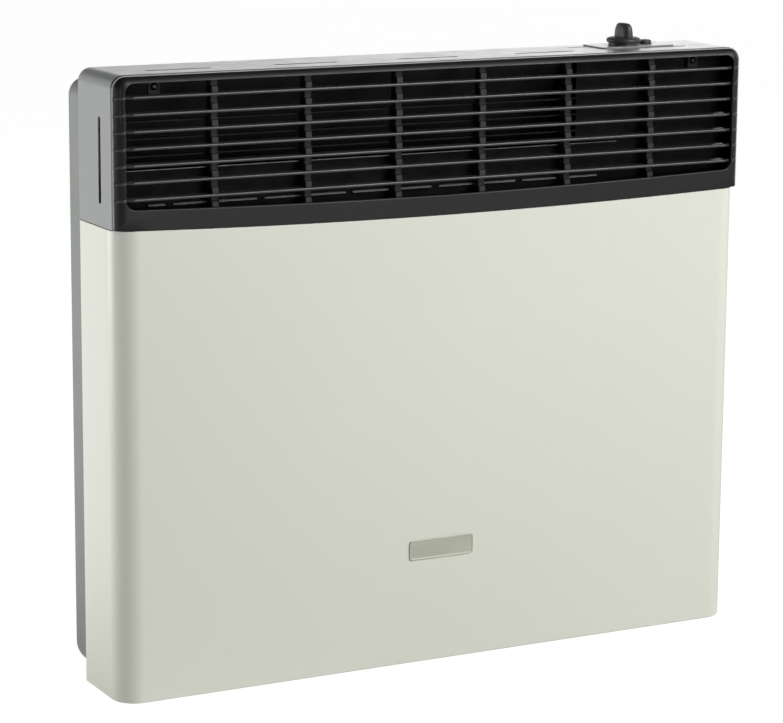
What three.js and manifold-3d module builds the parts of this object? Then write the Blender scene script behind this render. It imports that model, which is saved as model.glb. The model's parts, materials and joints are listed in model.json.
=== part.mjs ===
// Wall mounted gas heater with a flued heat exchanger, built piece by piece.
// Millimetres. +X is to the viewer's right, +Y points into the wall, +Z is up.
// Heights are measured from the casing's bottom edge, depths from the wall plane.

import * as THREE from 'three';
import { mergeVertices } from 'three/addons/utils/BufferGeometryUtils.js';
import Module from 'manifold-3d';

const wasm = await Module();
wasm.setup();

// ---------------------------------------------------------------- envelope
const WIDTH = 690;
const HEIGHT = 600;
const CASING_DEPTH = 90;
const PAN_PROUD = 50;
const DEPTH = CASING_DEPTH + PAN_PROUD;
const HALF_WIDTH = WIDTH / 2;
const SHEET = 1.2;
const CLEARANCE = 0.3;
const OVERCUT = 1;

// ---------------------------------------------------------------- front casing
const SEAM_HEIGHT = 456;
const SEAM_SAG = 5.8;
const SEAM_GAP = 0.8;
const CASING_BEND = 24;
const CASING_LIP = 12;

// ---------------------------------------------------------------- wall pan
const PAN_SHEET = 1.5;
const PAN_SIDE_INSET = 9;
const PAN_TOP_INSET = 14;
const PAN_BOTTOM_INSET = 2;
const PAN_OVERLAP = 12;
const PAN_TOP_RADIUS = 17;
const PAN_BOTTOM_RADIUS = 26;
const PAN_EDGE_RADIUS = 5;
const KEYHOLE_SPACING = 460;
const KEYHOLE_DROP = 42;
const KEYHOLE_HEAD_RADIUS = 6.5;
const KEYHOLE_SHANK_RADIUS = 3;
const LOWER_HOLE_HEIGHT = 40;
const LOWER_HOLE_RADIUS = 3.5;

// ---------------------------------------------------------------- top hood
const HOOD_CORNER = 13;
const HOOD_REAR_ROUND = 1.5;
const FRONT_BEND = 12;
const HOOD_WRAP = THREE.MathUtils.degToRad(12);
const SLOT_COUNT = 5;
const SLOT_PITCH = 132.5;
const SLOT_LENGTH = 68;
const SLOT_WIDTH = 6;
const SLOT_SETBACK = 38;
const SIDE_SLOT_LENGTH = 82;
const SIDE_SLOT_TOP_DROP = 40;
const SIGHT_SLOT_LENGTH = 21;
const SIGHT_SLOT_WIDTH = 5;
const SIGHT_SLOT_X = 189;
const SIGHT_SLOT_SETBACK = 70;

// ---------------------------------------------------------------- grille
const BAR_COUNT = 7;
const BAR_PITCH = 15.8;
const FIRST_BAR_DROP = 20.3;
const BAR_NOSE = 3.1;
const BAR_NOSE_DEPTH = 2.2;
const BLADE_DEPTH = 18;
const BLADE_THICKNESS = 1.6;
const TOP_RAIL = 7;
const SIDE_RAIL = 13.5;
const BOTTOM_RAIL = 18.7;
const OPENING_RADIUS = 9;
const GRILLE_WALL = 2.5;
const GRILLE_SKIRT = 14;
const RIDGE_PROUD = 0.6;
const RIB_COUNT = 6;
const RIB_PITCH = 97.4;
const RIB_MIDDLE_SHIFT = 2.5;
const RIB_WIDTH = 7.5;
const RIB_SETBACK = 7.5;
const RIB_DEPTH = 11;
const LUG_SPACING = 594;
const LUG_WIDTH = 12;
const LUG_HEIGHT = 18;
const LUG_HOLE_RADIUS = 1.8;

// ---------------------------------------------------------------- air deflector and air guide
const DEFLECTOR_SETBACK = 23;
const DEFLECTOR_TOP_DROP = 90.1;
const DEFLECTOR_HEIGHT = 42.9;
const DEFLECTOR_FOOT = 10;
const LIP_RIGHT_EDGE = 207;
const DASH_COUNT = 11;
const DASH_PITCH = 47.2;
const FIRST_DASH = -306;
const DASH_LEFT_EDGE = -303;
const DASH_LENGTH = 39;
const DASH_THICKNESS = 1.6;
const DASH_PROUD = 3;
const DASH_DROP = 123.9;
const VANE_COUNT = 3;
const FIRST_VANE_RISE = 13.3;
const VANE_PITCH = 16.2;
const STRAP_COUNT = 4;
const STRAP_WIDTH = 6;
const GUIDE_LEFT_GAP = 5;
const GUIDE_RIGHT_EDGE = 160;
const SCREEN_GAP = 2;
const SCREEN_FOOT_GAP = 3;
const SCREEN_FLANGE = 8;

// ---------------------------------------------------------------- controls
const KNOB_X = 240;
const KNOB_SETBACK = 62;
const KNOB_RADIUS = 17.5;
const KNOB_BASE_HEIGHT = 5;
const KNOB_GRIP_HEIGHT = 14;
const KNOB_GRIP_LENGTH = 26;
const KNOB_GRIP_WIDTH = 13;
const KNOB_TRAVEL = 3;
const SPINDLE_RADIUS = 3;
const CONTROL_PLATE = 1.2;
const CONTROL_PLATE_LEFT = 36;
const CONTROL_PLATE_RIGHT = 52;
const CONTROL_PLATE_FRONT = 18;
const CONTROL_PLATE_REAR = 24;
const CONTROL_PLATE_CORNER = 6;
const IGNITER_X_OFFSET = 29;
const IGNITER_Y_OFFSET = 6;
const BUTTON_RADIUS = 7;
const BUTTON_PROUD = 3.8;
const BUTTON_LENGTH = 17;
const BUTTON_TRAVEL = 4.5;
const BARREL_WALL = 0.9;
const BARREL_FLOOR = 8;
const BUTTON_SPRING_ROOM = 17.3;
const BARREL_LENGTH =
  BARREL_FLOOR + BUTTON_SPRING_ROOM + BUTTON_TRAVEL + BUTTON_LENGTH - BUTTON_PROUD;

// ---------------------------------------------------------------- gas valve
const VALVE_WIDTH = 82;
const VALVE_DEPTH = 60;
const VALVE_HEIGHT = 75;
const VALVE_DROP = 45;
const VALVE_RIGHT_OF_KNOB = 18;
const BONNET_RADIUS = 18;
const BONNET_HEIGHT = 34;
const PLUNGER_RADIUS = 7.5;
const PLUNGER_LENGTH = 15;
const PLUNGER_SPRING_LENGTH = 20;
const BORE_CLEARANCE = 0.6;

// ---------------------------------------------------------------- heat exchanger and burner
const EXCHANGER_X = -60;
const EXCHANGER_WIDTH = 380;
const EXCHANGER_BOTTOM = 110;
const EXCHANGER_TOP = 440;
const EXCHANGER_REAR = 30;
const EXCHANGER_FRONT = 114;
const EXCHANGER_SHEET = 1.5;
const EXCHANGER_CORNER = 20;
const CAP_FLANGE = 8;
const CAP_PLUG = 10;
const BURNER_HEIGHT = 150;
const BURNER_RADIUS = 15;
const BURNER_LENGTH = 310;
const BURNER_WALL = 1.2;
const BURNER_MOUTH = 18;
const PORT_COUNT = 8;
const PORT_PITCH = 30;
const PORT_LENGTH = 14;
const PORT_WIDTH = 2;
const DUCT_RADIUS = 40;
const DUCT_WALL = 1.5;
const DUCT_FLANGE = 12;
const GASKET = 2;
const EXHAUST_HEIGHT = 385;
const INTAKE_HEIGHT = 175;
const SHIELD_SETBACK = 14;
const SHIELD_FOOT = 60;
const SIGHT_GLASS_INSET = 70;
const SIGHT_GLASS_RISE = 25;
const BAFFLE_RIGHT_GAP = 60;
const BACK_BRACKET_FOOT = 250;
const BACK_BRACKET_TOP = 310;
const BRACKET_INSET = 60;
const SPACER_INSET = 40;
const SPACER_HEIGHT = 300;

// ---------------------------------------------------------------- pipes
const SUPPLY_RADIUS = 6;
const MANIFOLD_RADIUS = 5;
const PILOT_RADIUS = 2;
const LEAD_RADIUS = 1.5;
const WIRE_RADIUS = 1.6;
const WIRE_KNEE_HEIGHT = 260;
const WIRE_KNEE_REACH = 60;
const UNION_HEIGHT = 24;
const UNION_RADIUS = 12;
const UNION_BOTTOM = 16;
const NUT_HEIGHT = 12;
const BULB_RADIUS = 4;
const BULB_INSET = 200;
const BULB_STANDOFF = 22;
const BULB_HEIGHT = 62;
const BURNER_PIPE_REACH = 40;
const PILOT_HEAD = 4.5;
const INSULATOR_RADIUS = 3.5;
const THERMOCOUPLE_RADIUS = 3;

// ---------------------------------------------------------------- badge
const BADGE_WIDTH = 72;
const BADGE_HEIGHT = 20;
const BADGE_THICKNESS = 1.4;
const BADGE_RIM = 1.4;
const BADGE_RECESS = 0.5;
const BADGE_CENTRE = 116;

// Planes that several pieces share, as y values.
const FRONT_Y = -DEPTH;
const CASING_REAR_Y = -PAN_PROUD;
const PAN_FLOOR_Y = -PAN_SHEET;
const KNOB_Y = FRONT_Y + KNOB_SETBACK;
const IGNITER_X = KNOB_X + IGNITER_X_OFFSET;
const IGNITER_Y = KNOB_Y + IGNITER_Y_OFFSET;
const PLATE_TOP = HEIGHT + CONTROL_PLATE;
const HOOD_UNDERSIDE = HEIGHT - SHEET;
const KNOB_BOTTOM = PLATE_TOP + KNOB_TRAVEL + CLEARANCE;
const VALVE_TOP = HEIGHT - VALVE_DROP;
const VALVE_BOTTOM = VALVE_TOP - VALVE_HEIGHT;
const VALVE_RIGHT = KNOB_X + VALVE_RIGHT_OF_KNOB;
const VALVE_LEFT = VALVE_RIGHT - VALVE_WIDTH;
const EXCHANGER_LEFT = EXCHANGER_X - EXCHANGER_WIDTH / 2;
const EXCHANGER_RIGHT = EXCHANGER_X + EXCHANGER_WIDTH / 2;
const BRACKET_OFFSET = EXCHANGER_WIDTH / 2 - BRACKET_INSET;
const SPACER_OFFSET = EXCHANGER_WIDTH / 2 - SPACER_INSET;
const BURNER_Y = -(EXCHANGER_REAR + EXCHANGER_FRONT) / 2;
const PAN_CENTRE_HEIGHT = (HEIGHT - PAN_TOP_INSET + PAN_BOTTOM_INSET) / 2;

// ================================================================ solids

/** A closed three.js geometry as a solid for cutting and joining. */
function solid(geometry) {
  const bare = geometry.index ? geometry.toNonIndexed() : geometry.clone();
  bare.deleteAttribute('normal');
  bare.deleteAttribute('uv');
  const merged = mergeVertices(bare, 1e-4);
  const mesh = new wasm.Mesh({
    numProp: 3,
    vertProperties: new Float32Array(merged.getAttribute('position').array),
    triVerts: new Uint32Array(merged.index.array),
  });
  return new wasm.Manifold(mesh);
}

/** A finished solid as a three.js geometry with flat facets. */
function geometryOf(body) {
  const mesh = body.getMesh();
  const indexed = new THREE.BufferGeometry();
  indexed.setAttribute('position', new THREE.BufferAttribute(mesh.vertProperties, 3));
  indexed.setIndex(new THREE.BufferAttribute(mesh.triVerts, 1));
  const faceted = indexed.toNonIndexed();
  faceted.computeVertexNormals();
  return faceted;
}

/** One solid out of several that overlap. */
function join(bodies) {
  return bodies.reduce((sum, body) => sum.add(body));
}

/** The first solid less all the others. */
function cut(body, tools) {
  return tools.reduce((rest, tool) => rest.subtract(tool), body);
}

/** A block between two corners, each axis given as [low, high]. */
function block([x0, x1], [y0, y1], [z0, z1]) {
  const geometry = new THREE.BoxGeometry(x1 - x0, y1 - y0, z1 - z0);
  geometry.translate((x0 + x1) / 2, (y0 + y1) / 2, (z0 + z1) / 2);
  return solid(geometry);
}

/** Turns a geometry made along +Z so that it lies along the named axis. */
function turnFromZ(geometry, axis) {
  const x = new THREE.Vector3(1, 0, 0);
  const y = new THREE.Vector3(0, 1, 0);
  const z = new THREE.Vector3(0, 0, 1);
  const bases = { x: [y, z, x], y: [z, x, y], z: [x, y, z] };
  return geometry.applyMatrix4(new THREE.Matrix4().makeBasis(...bases[axis]));
}

/** A round or many-sided rod along an axis; centre holds the two other coordinates in X, Y, Z order. */
function rod(axis, radius, from, to, centre, sides = 24, endRadius = radius) {
  const geometry = new THREE.CylinderGeometry(endRadius, radius, to - from, sides);
  geometry.rotateX(Math.PI / 2);
  geometry.translate(0, 0, (from + to) / 2);
  turnFromZ(geometry, axis);
  const [a, b] = centre;
  const places = { x: [0, a, b], y: [a, 0, b], z: [a, b, 0] };
  geometry.translate(...places[axis]);
  return solid(geometry);
}

/** A flat ring or a straight tube along an axis. */
function ring(axis, outer, inner, from, to, centre, sides = 24) {
  const bore = rod(axis, inner, from - OVERCUT, to + OVERCUT, centre, sides);
  return rod(axis, outer, from, to, centre, sides).subtract(bore);
}

/** A shape drawn in X and Y, raised from one height to another. */
function raised(shape, z0, z1, curveSegments = 10) {
  const settings = { depth: z1 - z0, bevelEnabled: false, curveSegments };
  const geometry = new THREE.ExtrudeGeometry(shape, settings);
  geometry.translate(0, 0, z0);
  return solid(geometry);
}

/** A shape drawn in X and Z, run from y0 back to y1. */
function runBack(shape, y0, y1, curveSegments = 10) {
  const settings = { depth: y1 - y0, bevelEnabled: false, curveSegments };
  const geometry = new THREE.ExtrudeGeometry(shape, settings);
  geometry.rotateX(Math.PI / 2);
  geometry.translate(0, y1, 0);
  return solid(geometry);
}

/** A shape drawn in Y and Z, run from x0 across to x1. */
function runAcross(shape, x0, x1, curveSegments = 10) {
  const settings = { depth: x1 - x0, bevelEnabled: false, curveSegments };
  const geometry = new THREE.ExtrudeGeometry(shape, settings);
  turnFromZ(geometry, 'x');
  geometry.translate(x0, 0, 0);
  return solid(geometry);
}

/** Points of a rectangle with rounded corners, anticlockwise. */
function roundedOutline({ left, right, bottom, top, topRadius, bottomRadius, steps = 5 }) {
  const corners = [
    [left + bottomRadius, bottom + bottomRadius, bottomRadius, Math.PI],
    [right - bottomRadius, bottom + bottomRadius, bottomRadius, 1.5 * Math.PI],
    [right - topRadius, top - topRadius, topRadius, 0],
    [left + topRadius, top - topRadius, topRadius, 0.5 * Math.PI],
  ];
  const points = [];
  for (const [centreX, centreZ, radius, start] of corners) {
    for (let i = 0; i <= steps; i += 1) {
      const angle = start + (0.5 * Math.PI * i) / steps;
      points.push([centreX + radius * Math.cos(angle), centreZ + radius * Math.sin(angle)]);
    }
  }
  return points;
}

/** A shape through a list of points. */
function shapeThrough(points) {
  return new THREE.Shape(points.map(([a, b]) => new THREE.Vector2(a, b)));
}

/** A rectangle with equal rounded corners, as a shape. */
function roundedShape(left, right, bottom, top, radius, steps = 4) {
  const outline = { left, right, bottom, top, topRadius: radius, bottomRadius: radius, steps };
  return shapeThrough(roundedOutline(outline));
}

/** A skin through outlines in X and Z that follow each other from the wall to the front. */
function loftForward(stations) {
  const count = stations[0].points.length;
  const positions = stations.flatMap(({ y, points }) => points.flatMap(([x, z]) => [x, y, z]));
  const index = [];
  for (let row = 0; row < stations.length - 1; row += 1) {
    for (let i = 0; i < count; i += 1) {
      const next = (i + 1) % count;
      const here = row * count;
      const ahead = here + count;
      index.push(here + i, here + next, ahead + next, here + i, ahead + next, ahead + i);
    }
  }
  const last = (stations.length - 1) * count;
  for (let i = 1; i < count - 1; i += 1) {
    index.push(0, i + 1, i);
    index.push(last, last + i, last + i + 1);
  }
  const geometry = new THREE.BufferGeometry();
  geometry.setAttribute('position', new THREE.Float32BufferAttribute(positions, 3));
  geometry.setIndex(index);
  return solid(geometry);
}

/** The closed outline of a bent sheet that runs along a line of points, offset to the line's left. */
function sheetShape(line, thickness) {
  const points = line.map(([a, b]) => new THREE.Vector2(a, b));
  const offset = points.map((point, i) => {
    const before = points[Math.max(i - 1, 0)];
    const after = points[Math.min(i + 1, points.length - 1)];
    const into = (i > 0 ? point.clone().sub(before) : after.clone().sub(point)).normalize();
    const out = (i < points.length - 1 ? after.clone().sub(point) : into.clone()).normalize();
    const side = new THREE.Vector2(-into.y - out.y, into.x + out.x).normalize();
    const normal = new THREE.Vector2(-into.y, into.x);
    return point.clone().addScaledVector(side, thickness / side.dot(normal));
  });
  return new THREE.Shape([...points, ...offset.reverse()]);
}

/** Straight runs joined by round bends, sampled only where the pipe turns. */
class PipeRun extends THREE.Curve {
  constructor(points, bend, bendSteps = 5) {
    super();
    const corners = points.map((point) => new THREE.Vector3(...point));
    this.samples = [corners[0]];
    this.tangents = [corners[1].clone().sub(corners[0]).normalize()];
    for (let i = 1; i < corners.length - 1; i += 1) {
      const into = corners[i].clone().sub(corners[i - 1]).normalize();
      const out = corners[i + 1].clone().sub(corners[i]).normalize();
      const entry = corners[i].clone().addScaledVector(into, -bend);
      const exit = corners[i].clone().addScaledVector(out, bend);
      const arc = new THREE.QuadraticBezierCurve3(entry, corners[i], exit);
      for (let step = 0; step <= bendSteps; step += 1) {
        this.samples.push(arc.getPoint(step / bendSteps));
        this.tangents.push(arc.getTangent(step / bendSteps));
      }
    }
    this.samples.push(corners[corners.length - 1]);
    this.tangents.push(this.tangents[this.tangents.length - 1].clone());
  }

  getPointAt(u, target = new THREE.Vector3()) {
    return target.copy(this.samples[Math.round(u * (this.samples.length - 1))]);
  }

  getTangentAt(u, target = new THREE.Vector3()) {
    return target.copy(this.tangents[Math.round(u * (this.samples.length - 1))]);
  }
}

/** A straight-sided pipe with round bends, as one tube. */
function pipe(points, radius, bend, sides = 8) {
  const run = new PipeRun(points, bend);
  return sweep(run, radius, sides, run.samples.length - 1);
}

/** A round section swept along a path, closed at both ends. */
function sweep(path, radius, sides, steps) {
  const section = new THREE.Shape();
  for (let i = 0; i < sides; i += 1) {
    const angle = (2 * Math.PI * i) / sides;
    const point = [radius * Math.cos(angle), radius * Math.sin(angle)];
    if (i === 0) section.moveTo(...point);
    else section.lineTo(...point);
  }
  section.closePath();
  const settings = { steps, bevelEnabled: false, extrudePath: path };
  return solid(new THREE.ExtrudeGeometry(section, settings));
}

/** A helix that rises from one height to another round a vertical axis. */
class Helix extends THREE.Curve {
  constructor(radius, turns, z0, z1) {
    super();
    Object.assign(this, { radius, turns, z0, z1 });
  }

  getPoint(t, target = new THREE.Vector3()) {
    const angle = 2 * Math.PI * this.turns * t;
    const z = this.z0 + (this.z1 - this.z0) * t;
    return target.set(this.radius * Math.cos(angle), this.radius * Math.sin(angle), z);
  }
}

/** A compression spring between two heights round the origin's vertical axis. */
function coilSpring(radius, wire, turns, z0, z1) {
  const helix = new Helix(radius, turns, z0 + wire, z1 - wire);
  return sweep(helix, wire, 5, turns * 8);
}

/** A six-sided nut with a through bore, along an axis. */
function hexNut(axis, radius, bore, from, to, centre) {
  return rod(axis, radius, from, to, centre, 6).subtract(
    rod(axis, bore, from - OVERCUT, to + OVERCUT, centre, 20),
  );
}

// ================================================================ shared outlines

/** The wall pan's outline, grown or shrunk by a distance. */
function panOutline(grow) {
  return roundedOutline({
    left: -HALF_WIDTH + PAN_SIDE_INSET - grow,
    right: HALF_WIDTH - PAN_SIDE_INSET + grow,
    bottom: PAN_BOTTOM_INSET - grow,
    top: HEIGHT - PAN_TOP_INSET + grow,
    topRadius: PAN_TOP_RADIUS + grow,
    bottomRadius: PAN_BOTTOM_RADIUS + grow,
  });
}

/** The hood's outline at a distance inside its outer skin; its lower end is cut off at the seam. */
function hoodOutline(inset) {
  return roundedOutline({
    left: -HALF_WIDTH + inset,
    right: HALF_WIDTH - inset,
    bottom: SEAM_HEIGHT - CASING_BEND,
    top: HEIGHT - inset,
    topRadius: HOOD_CORNER - inset,
    bottomRadius: 1,
    steps: 6,
  });
}

/** Stations round the front edge's bend between two angles, at a distance outside its face. */
function frontBend(fromAngle, toAngle, grow, steps) {
  const stations = [];
  for (let i = 0; i <= steps; i += 1) {
    const angle = fromAngle + ((toAngle - fromAngle) * i) / steps;
    const radius = FRONT_BEND + grow;
    stations.push({
      y: FRONT_Y + FRONT_BEND - radius * Math.sin(angle),
      points: hoodOutline(FRONT_BEND - radius * Math.cos(angle)),
    });
  }
  return stations;
}

/** Everything above the curved seam between grille and casing, moved up by an offset. */
function aboveSeam(offset) {
  const flat = HALF_WIDTH - CASING_BEND;
  const level = SEAM_HEIGHT + offset;
  const shape = new THREE.Shape();
  shape.moveTo(-WIDTH, level);
  shape.lineTo(-flat, level);
  shape.quadraticCurveTo(0, level - 2 * SEAM_SAG, flat, level);
  shape.lineTo(WIDTH, level);
  shape.lineTo(WIDTH, 2 * HEIGHT);
  shape.lineTo(-WIDTH, 2 * HEIGHT);
  return runBack(shape, -2 * DEPTH, DEPTH, 16);
}

/** The casing's plan, inset by a distance: square at the back, bent at the front. */
function casingPlan(inset) {
  const right = HALF_WIDTH - inset;
  const rear = CASING_REAR_Y - inset;
  const front = FRONT_Y + inset;
  const bend = CASING_BEND - inset;
  const shape = new THREE.Shape();
  shape.moveTo(right, rear);
  shape.lineTo(-right, rear);
  shape.lineTo(-right, front + bend);
  shape.absarc(-right + bend, front + bend, bend, Math.PI, 1.5 * Math.PI, false);
  shape.absarc(right - bend, front + bend, bend, 1.5 * Math.PI, 2 * Math.PI, false);
  shape.closePath();
  return shape;
}

// ================================================================ outer shells

/** Cream wrap: front and sides in one bent sheet, with return lips all round. */
function frontCasing() {
  const outer = raised(casingPlan(0), 0, SEAM_HEIGHT).subtract(aboveSeam(0));
  const inner = raised(casingPlan(SHEET), SHEET, SEAM_HEIGHT).subtract(aboveSeam(-SHEET));
  const inside = HALF_WIDTH - PAN_SIDE_INSET + CLEARANCE;
  const lipFront = FRONT_Y + CASING_LIP;
  const throughLips = block(
    [-inside, inside],
    [lipFront, CASING_REAR_Y + OVERCUT],
    [-OVERCUT, SEAM_HEIGHT + OVERCUT],
  );
  const panPassage = runBack(
    shapeThrough(panOutline(CLEARANCE)),
    CASING_REAR_Y - SHEET - OVERCUT,
    CASING_REAR_Y + OVERCUT,
  );
  return cut(outer, [inner, throughLips, panPassage]);
}

/** A slot with round ends that lies along X in the hood's top. */
function topSlot(centreX, setback, length, width) {
  const y = FRONT_Y + setback;
  const shape = roundedShape(
    centreX - length / 2,
    centreX + length / 2,
    y - width / 2,
    y + width / 2,
    width / 2 - 0.01,
    4,
  );
  return raised(shape, HOOD_UNDERSIDE - OVERCUT, HEIGHT + OVERCUT);
}

/** The pair of upright slots in the hood's sides, as one cutting bar through both. */
function sideSlots() {
  const y = FRONT_Y + SLOT_SETBACK;
  const top = HEIGHT - SIDE_SLOT_TOP_DROP;
  const shape = roundedShape(
    y - SLOT_WIDTH / 2,
    y + SLOT_WIDTH / 2,
    top - SIDE_SLOT_LENGTH,
    top,
    SLOT_WIDTH / 2 - 0.01,
    4,
  );
  return runAcross(shape, -HALF_WIDTH - OVERCUT, HALF_WIDTH + OVERCUT);
}

/** Dark grey cover over the top and the upper sides, rounded at its front edge. */
function topHood() {
  const rearRound = [
    { y: CASING_REAR_Y, points: hoodOutline(HOOD_REAR_ROUND) },
    { y: CASING_REAR_Y - HOOD_REAR_ROUND, points: hoodOutline(0) },
  ];
  const outer = loftForward([...rearRound, ...frontBend(0, HOOD_WRAP, 0, 4)]);
  const innerBend = frontBend(0, HOOD_WRAP, -SHEET, 4);
  const mouth = { y: FRONT_Y - OVERCUT, points: innerBend[innerBend.length - 1].points };
  const innerRear = { y: CASING_REAR_Y - HOOD_REAR_ROUND - SHEET, points: hoodOutline(SHEET) };
  const inner = loftForward([innerRear, ...innerBend, mouth]);
  const belowSeam = block(
    [-WIDTH, WIDTH],
    [2 * FRONT_Y, OVERCUT],
    [-OVERCUT, SEAM_HEIGHT + SEAM_GAP],
  );
  const panPassage = runBack(
    shapeThrough(panOutline(CLEARANCE)),
    CASING_REAR_Y - HOOD_REAR_ROUND - SHEET - OVERCUT,
    CASING_REAR_Y + OVERCUT,
  );
  const slots = [];
  for (let i = 0; i < SLOT_COUNT; i += 1) {
    const x = (i - (SLOT_COUNT - 1) / 2) * SLOT_PITCH;
    slots.push(topSlot(x, SLOT_SETBACK, SLOT_LENGTH, SLOT_WIDTH));
  }
  const sightSlot = topSlot(SIGHT_SLOT_X, SIGHT_SLOT_SETBACK, SIGHT_SLOT_LENGTH, SIGHT_SLOT_WIDTH);
  const holes = controlHoles(HOOD_UNDERSIDE - OVERCUT, HEIGHT + OVERCUT);
  return cut(outer, [inner, belowSeam, panPassage, ...slots, sideSlots(), sightSlot, ...holes]);
}

/** The holes that the spindle and the igniter barrel pass through. */
function controlHoles(z0, z1) {
  const barrelRadius = BUTTON_RADIUS + CLEARANCE + BARREL_WALL;
  return [
    rod('z', SPINDLE_RADIUS + 2 * CLEARANCE, z0, z1, [KNOB_X, KNOB_Y]),
    rod('z', barrelRadius + CLEARANCE, z0, z1, [IGNITER_X, IGNITER_Y]),
  ];
}

/** Thin plate on the hood that frames the knob and the igniter button. */
function controlPlate() {
  const shape = roundedShape(
    KNOB_X - CONTROL_PLATE_LEFT,
    KNOB_X + CONTROL_PLATE_RIGHT,
    KNOB_Y - CONTROL_PLATE_FRONT,
    KNOB_Y + CONTROL_PLATE_REAR,
    CONTROL_PLATE_CORNER,
  );
  const plate = raised(shape, HEIGHT, PLATE_TOP);
  return cut(plate, controlHoles(HEIGHT - OVERCUT, PLATE_TOP + OVERCUT));
}

/** A keyhole: a round entry for the screw head with a narrow slot above it. */
function keyhole(x, z) {
  const [y0, y1] = [PAN_FLOOR_Y - OVERCUT, OVERCUT];
  const rise = 2 * KEYHOLE_HEAD_RADIUS;
  const neck = block([x - KEYHOLE_SHANK_RADIUS, x + KEYHOLE_SHANK_RADIUS], [y0, y1], [z, z + rise]);
  const head = rod('y', KEYHOLE_HEAD_RADIUS, y0, y1, [x, z], 20);
  return join([head, neck, rod('y', KEYHOLE_SHANK_RADIUS, y0, y1, [x, z + rise], 16)]);
}

/** Grey pressed tray that hangs on the wall and carries everything else. */
function rearPan() {
  const edgeSteps = 2;
  const rounded = (grow, y, radius) => {
    const stations = [];
    for (let i = 0; i <= edgeSteps; i += 1) {
      const angle = (0.5 * Math.PI * i) / edgeSteps;
      stations.push({
        y: y - radius + radius * Math.cos(angle),
        points: panOutline(grow - radius + radius * Math.sin(angle)),
      });
    }
    return stations;
  };
  const rim = CASING_REAR_Y - PAN_OVERLAP;
  const outer = [...rounded(0, 0, PAN_EDGE_RADIUS), { y: rim, points: panOutline(0) }];
  const inner = [
    ...rounded(-PAN_SHEET, PAN_FLOOR_Y, PAN_EDGE_RADIUS - PAN_SHEET),
    { y: rim - OVERCUT, points: panOutline(-PAN_SHEET) },
  ];
  const holes = [];
  for (const side of [-1, 1]) {
    const x = (side * KEYHOLE_SPACING) / 2;
    const through = [PAN_FLOOR_Y - OVERCUT, OVERCUT];
    holes.push(keyhole(x, HEIGHT - PAN_TOP_INSET - KEYHOLE_DROP));
    holes.push(rod('y', LOWER_HOLE_RADIUS, ...through, [x, LOWER_HOLE_HEIGHT], 16));
  }
  for (const height of [EXHAUST_HEIGHT, INTAKE_HEIGHT]) {
    const radius = DUCT_RADIUS + CLEARANCE;
    holes.push(rod('y', radius, PAN_FLOOR_Y - OVERCUT, OVERCUT, [EXCHANGER_X, height], 32));
  }
  return cut(loftForward(outer), [loftForward(inner), ...holes]);
}

/** Small raised-rim plate on the casing's front; its field is bare. */
function badgePlate() {
  const half = BADGE_WIDTH / 2;
  const [low, high] = [BADGE_CENTRE - BADGE_HEIGHT / 2, BADGE_CENTRE + BADGE_HEIGHT / 2];
  const front = FRONT_Y - BADGE_THICKNESS;
  const plate = runBack(roundedShape(-half, half, low, high, 3), front, FRONT_Y);
  const field = runBack(
    roundedShape(-half + BADGE_RIM, half - BADGE_RIM, low + BADGE_RIM, high - BADGE_RIM, 2),
    front - OVERCUT,
    front + BADGE_RECESS,
  );
  return plate.subtract(field);
}

// ================================================================ grille

/** Height of a bar's nose, counted from the top. */
function barHeight(bar) {
  return HEIGHT - FIRST_BAR_DROP - bar * BAR_PITCH;
}

/** The window inside the rails: straight at the top, sagging with the seam at the bottom. */
function grilleWindow() {
  const right = HALF_WIDTH - SIDE_RAIL;
  const top = HEIGHT - TOP_RAIL;
  const bottom = SEAM_HEIGHT + BOTTOM_RAIL;
  const r = OPENING_RADIUS;
  const shape = new THREE.Shape();
  shape.moveTo(-right + r, bottom);
  shape.quadraticCurveTo(0, bottom - 2 * SEAM_SAG, right - r, bottom);
  shape.absarc(right - r, bottom + r, r, -0.5 * Math.PI, 0, false);
  shape.absarc(right - r, top - r, r, 0, 0.5 * Math.PI, false);
  shape.absarc(-right + r, top - r, r, 0.5 * Math.PI, Math.PI, false);
  shape.absarc(-right + r, bottom + r, r, Math.PI, 1.5 * Math.PI, false);
  return runBack(shape, FRONT_Y - OVERCUT, FRONT_Y + FRONT_BEND, 6);
}

/** The grille's outer skin from its skirt to its face, grown by a distance at the face. */
function grilleSkin(grow) {
  const shoulder = HOOD_WRAP + 2 * CLEARANCE / FRONT_BEND;
  const face = frontBend(shoulder, 0.5 * Math.PI, grow, 6);
  const skirtInset = hoodMouthInset() + CLEARANCE;
  const skirtRear = FRONT_Y + DEFLECTOR_SETBACK - CLEARANCE;
  return loftForward([
    { y: skirtRear, points: hoodOutline(skirtInset) },
    { y: face[0].y, points: hoodOutline(skirtInset) },
    ...face,
  ]);
}

/** How far the hood's inner skin stands in at its front mouth. */
function hoodMouthInset() {
  return FRONT_BEND - (FRONT_BEND - SHEET) * Math.cos(HOOD_WRAP);
}

/** One louvre bar: an upright nose with a thinner level blade behind it. */
function grilleBar(height) {
  const nose = FRONT_Y;
  const rear = FRONT_Y + BLADE_DEPTH;
  const half = BAR_NOSE / 2;
  const thin = BLADE_THICKNESS / 2;
  const profile = shapeThrough([
    [nose, height - half],
    [nose + BAR_NOSE_DEPTH, height - half],
    [nose + 2 * BAR_NOSE_DEPTH, height - thin],
    [rear, height - thin],
    [rear, height + thin],
    [nose + 2 * BAR_NOSE_DEPTH, height + thin],
    [nose + BAR_NOSE_DEPTH, height + half],
    [nose, height + half],
  ]);
  const reach = HALF_WIDTH - hoodMouthInset() - GRILLE_WALL;
  return runAcross(profile, -reach, reach);
}

/** A rib's place across: an even pitch on both sides of a slightly narrower middle gap. */
function ribPosition(rib) {
  const fromMiddle = rib - (RIB_COUNT - 1) / 2;
  return fromMiddle * RIB_PITCH - Math.sign(fromMiddle) * RIB_MIDDLE_SHIFT;
}

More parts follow.
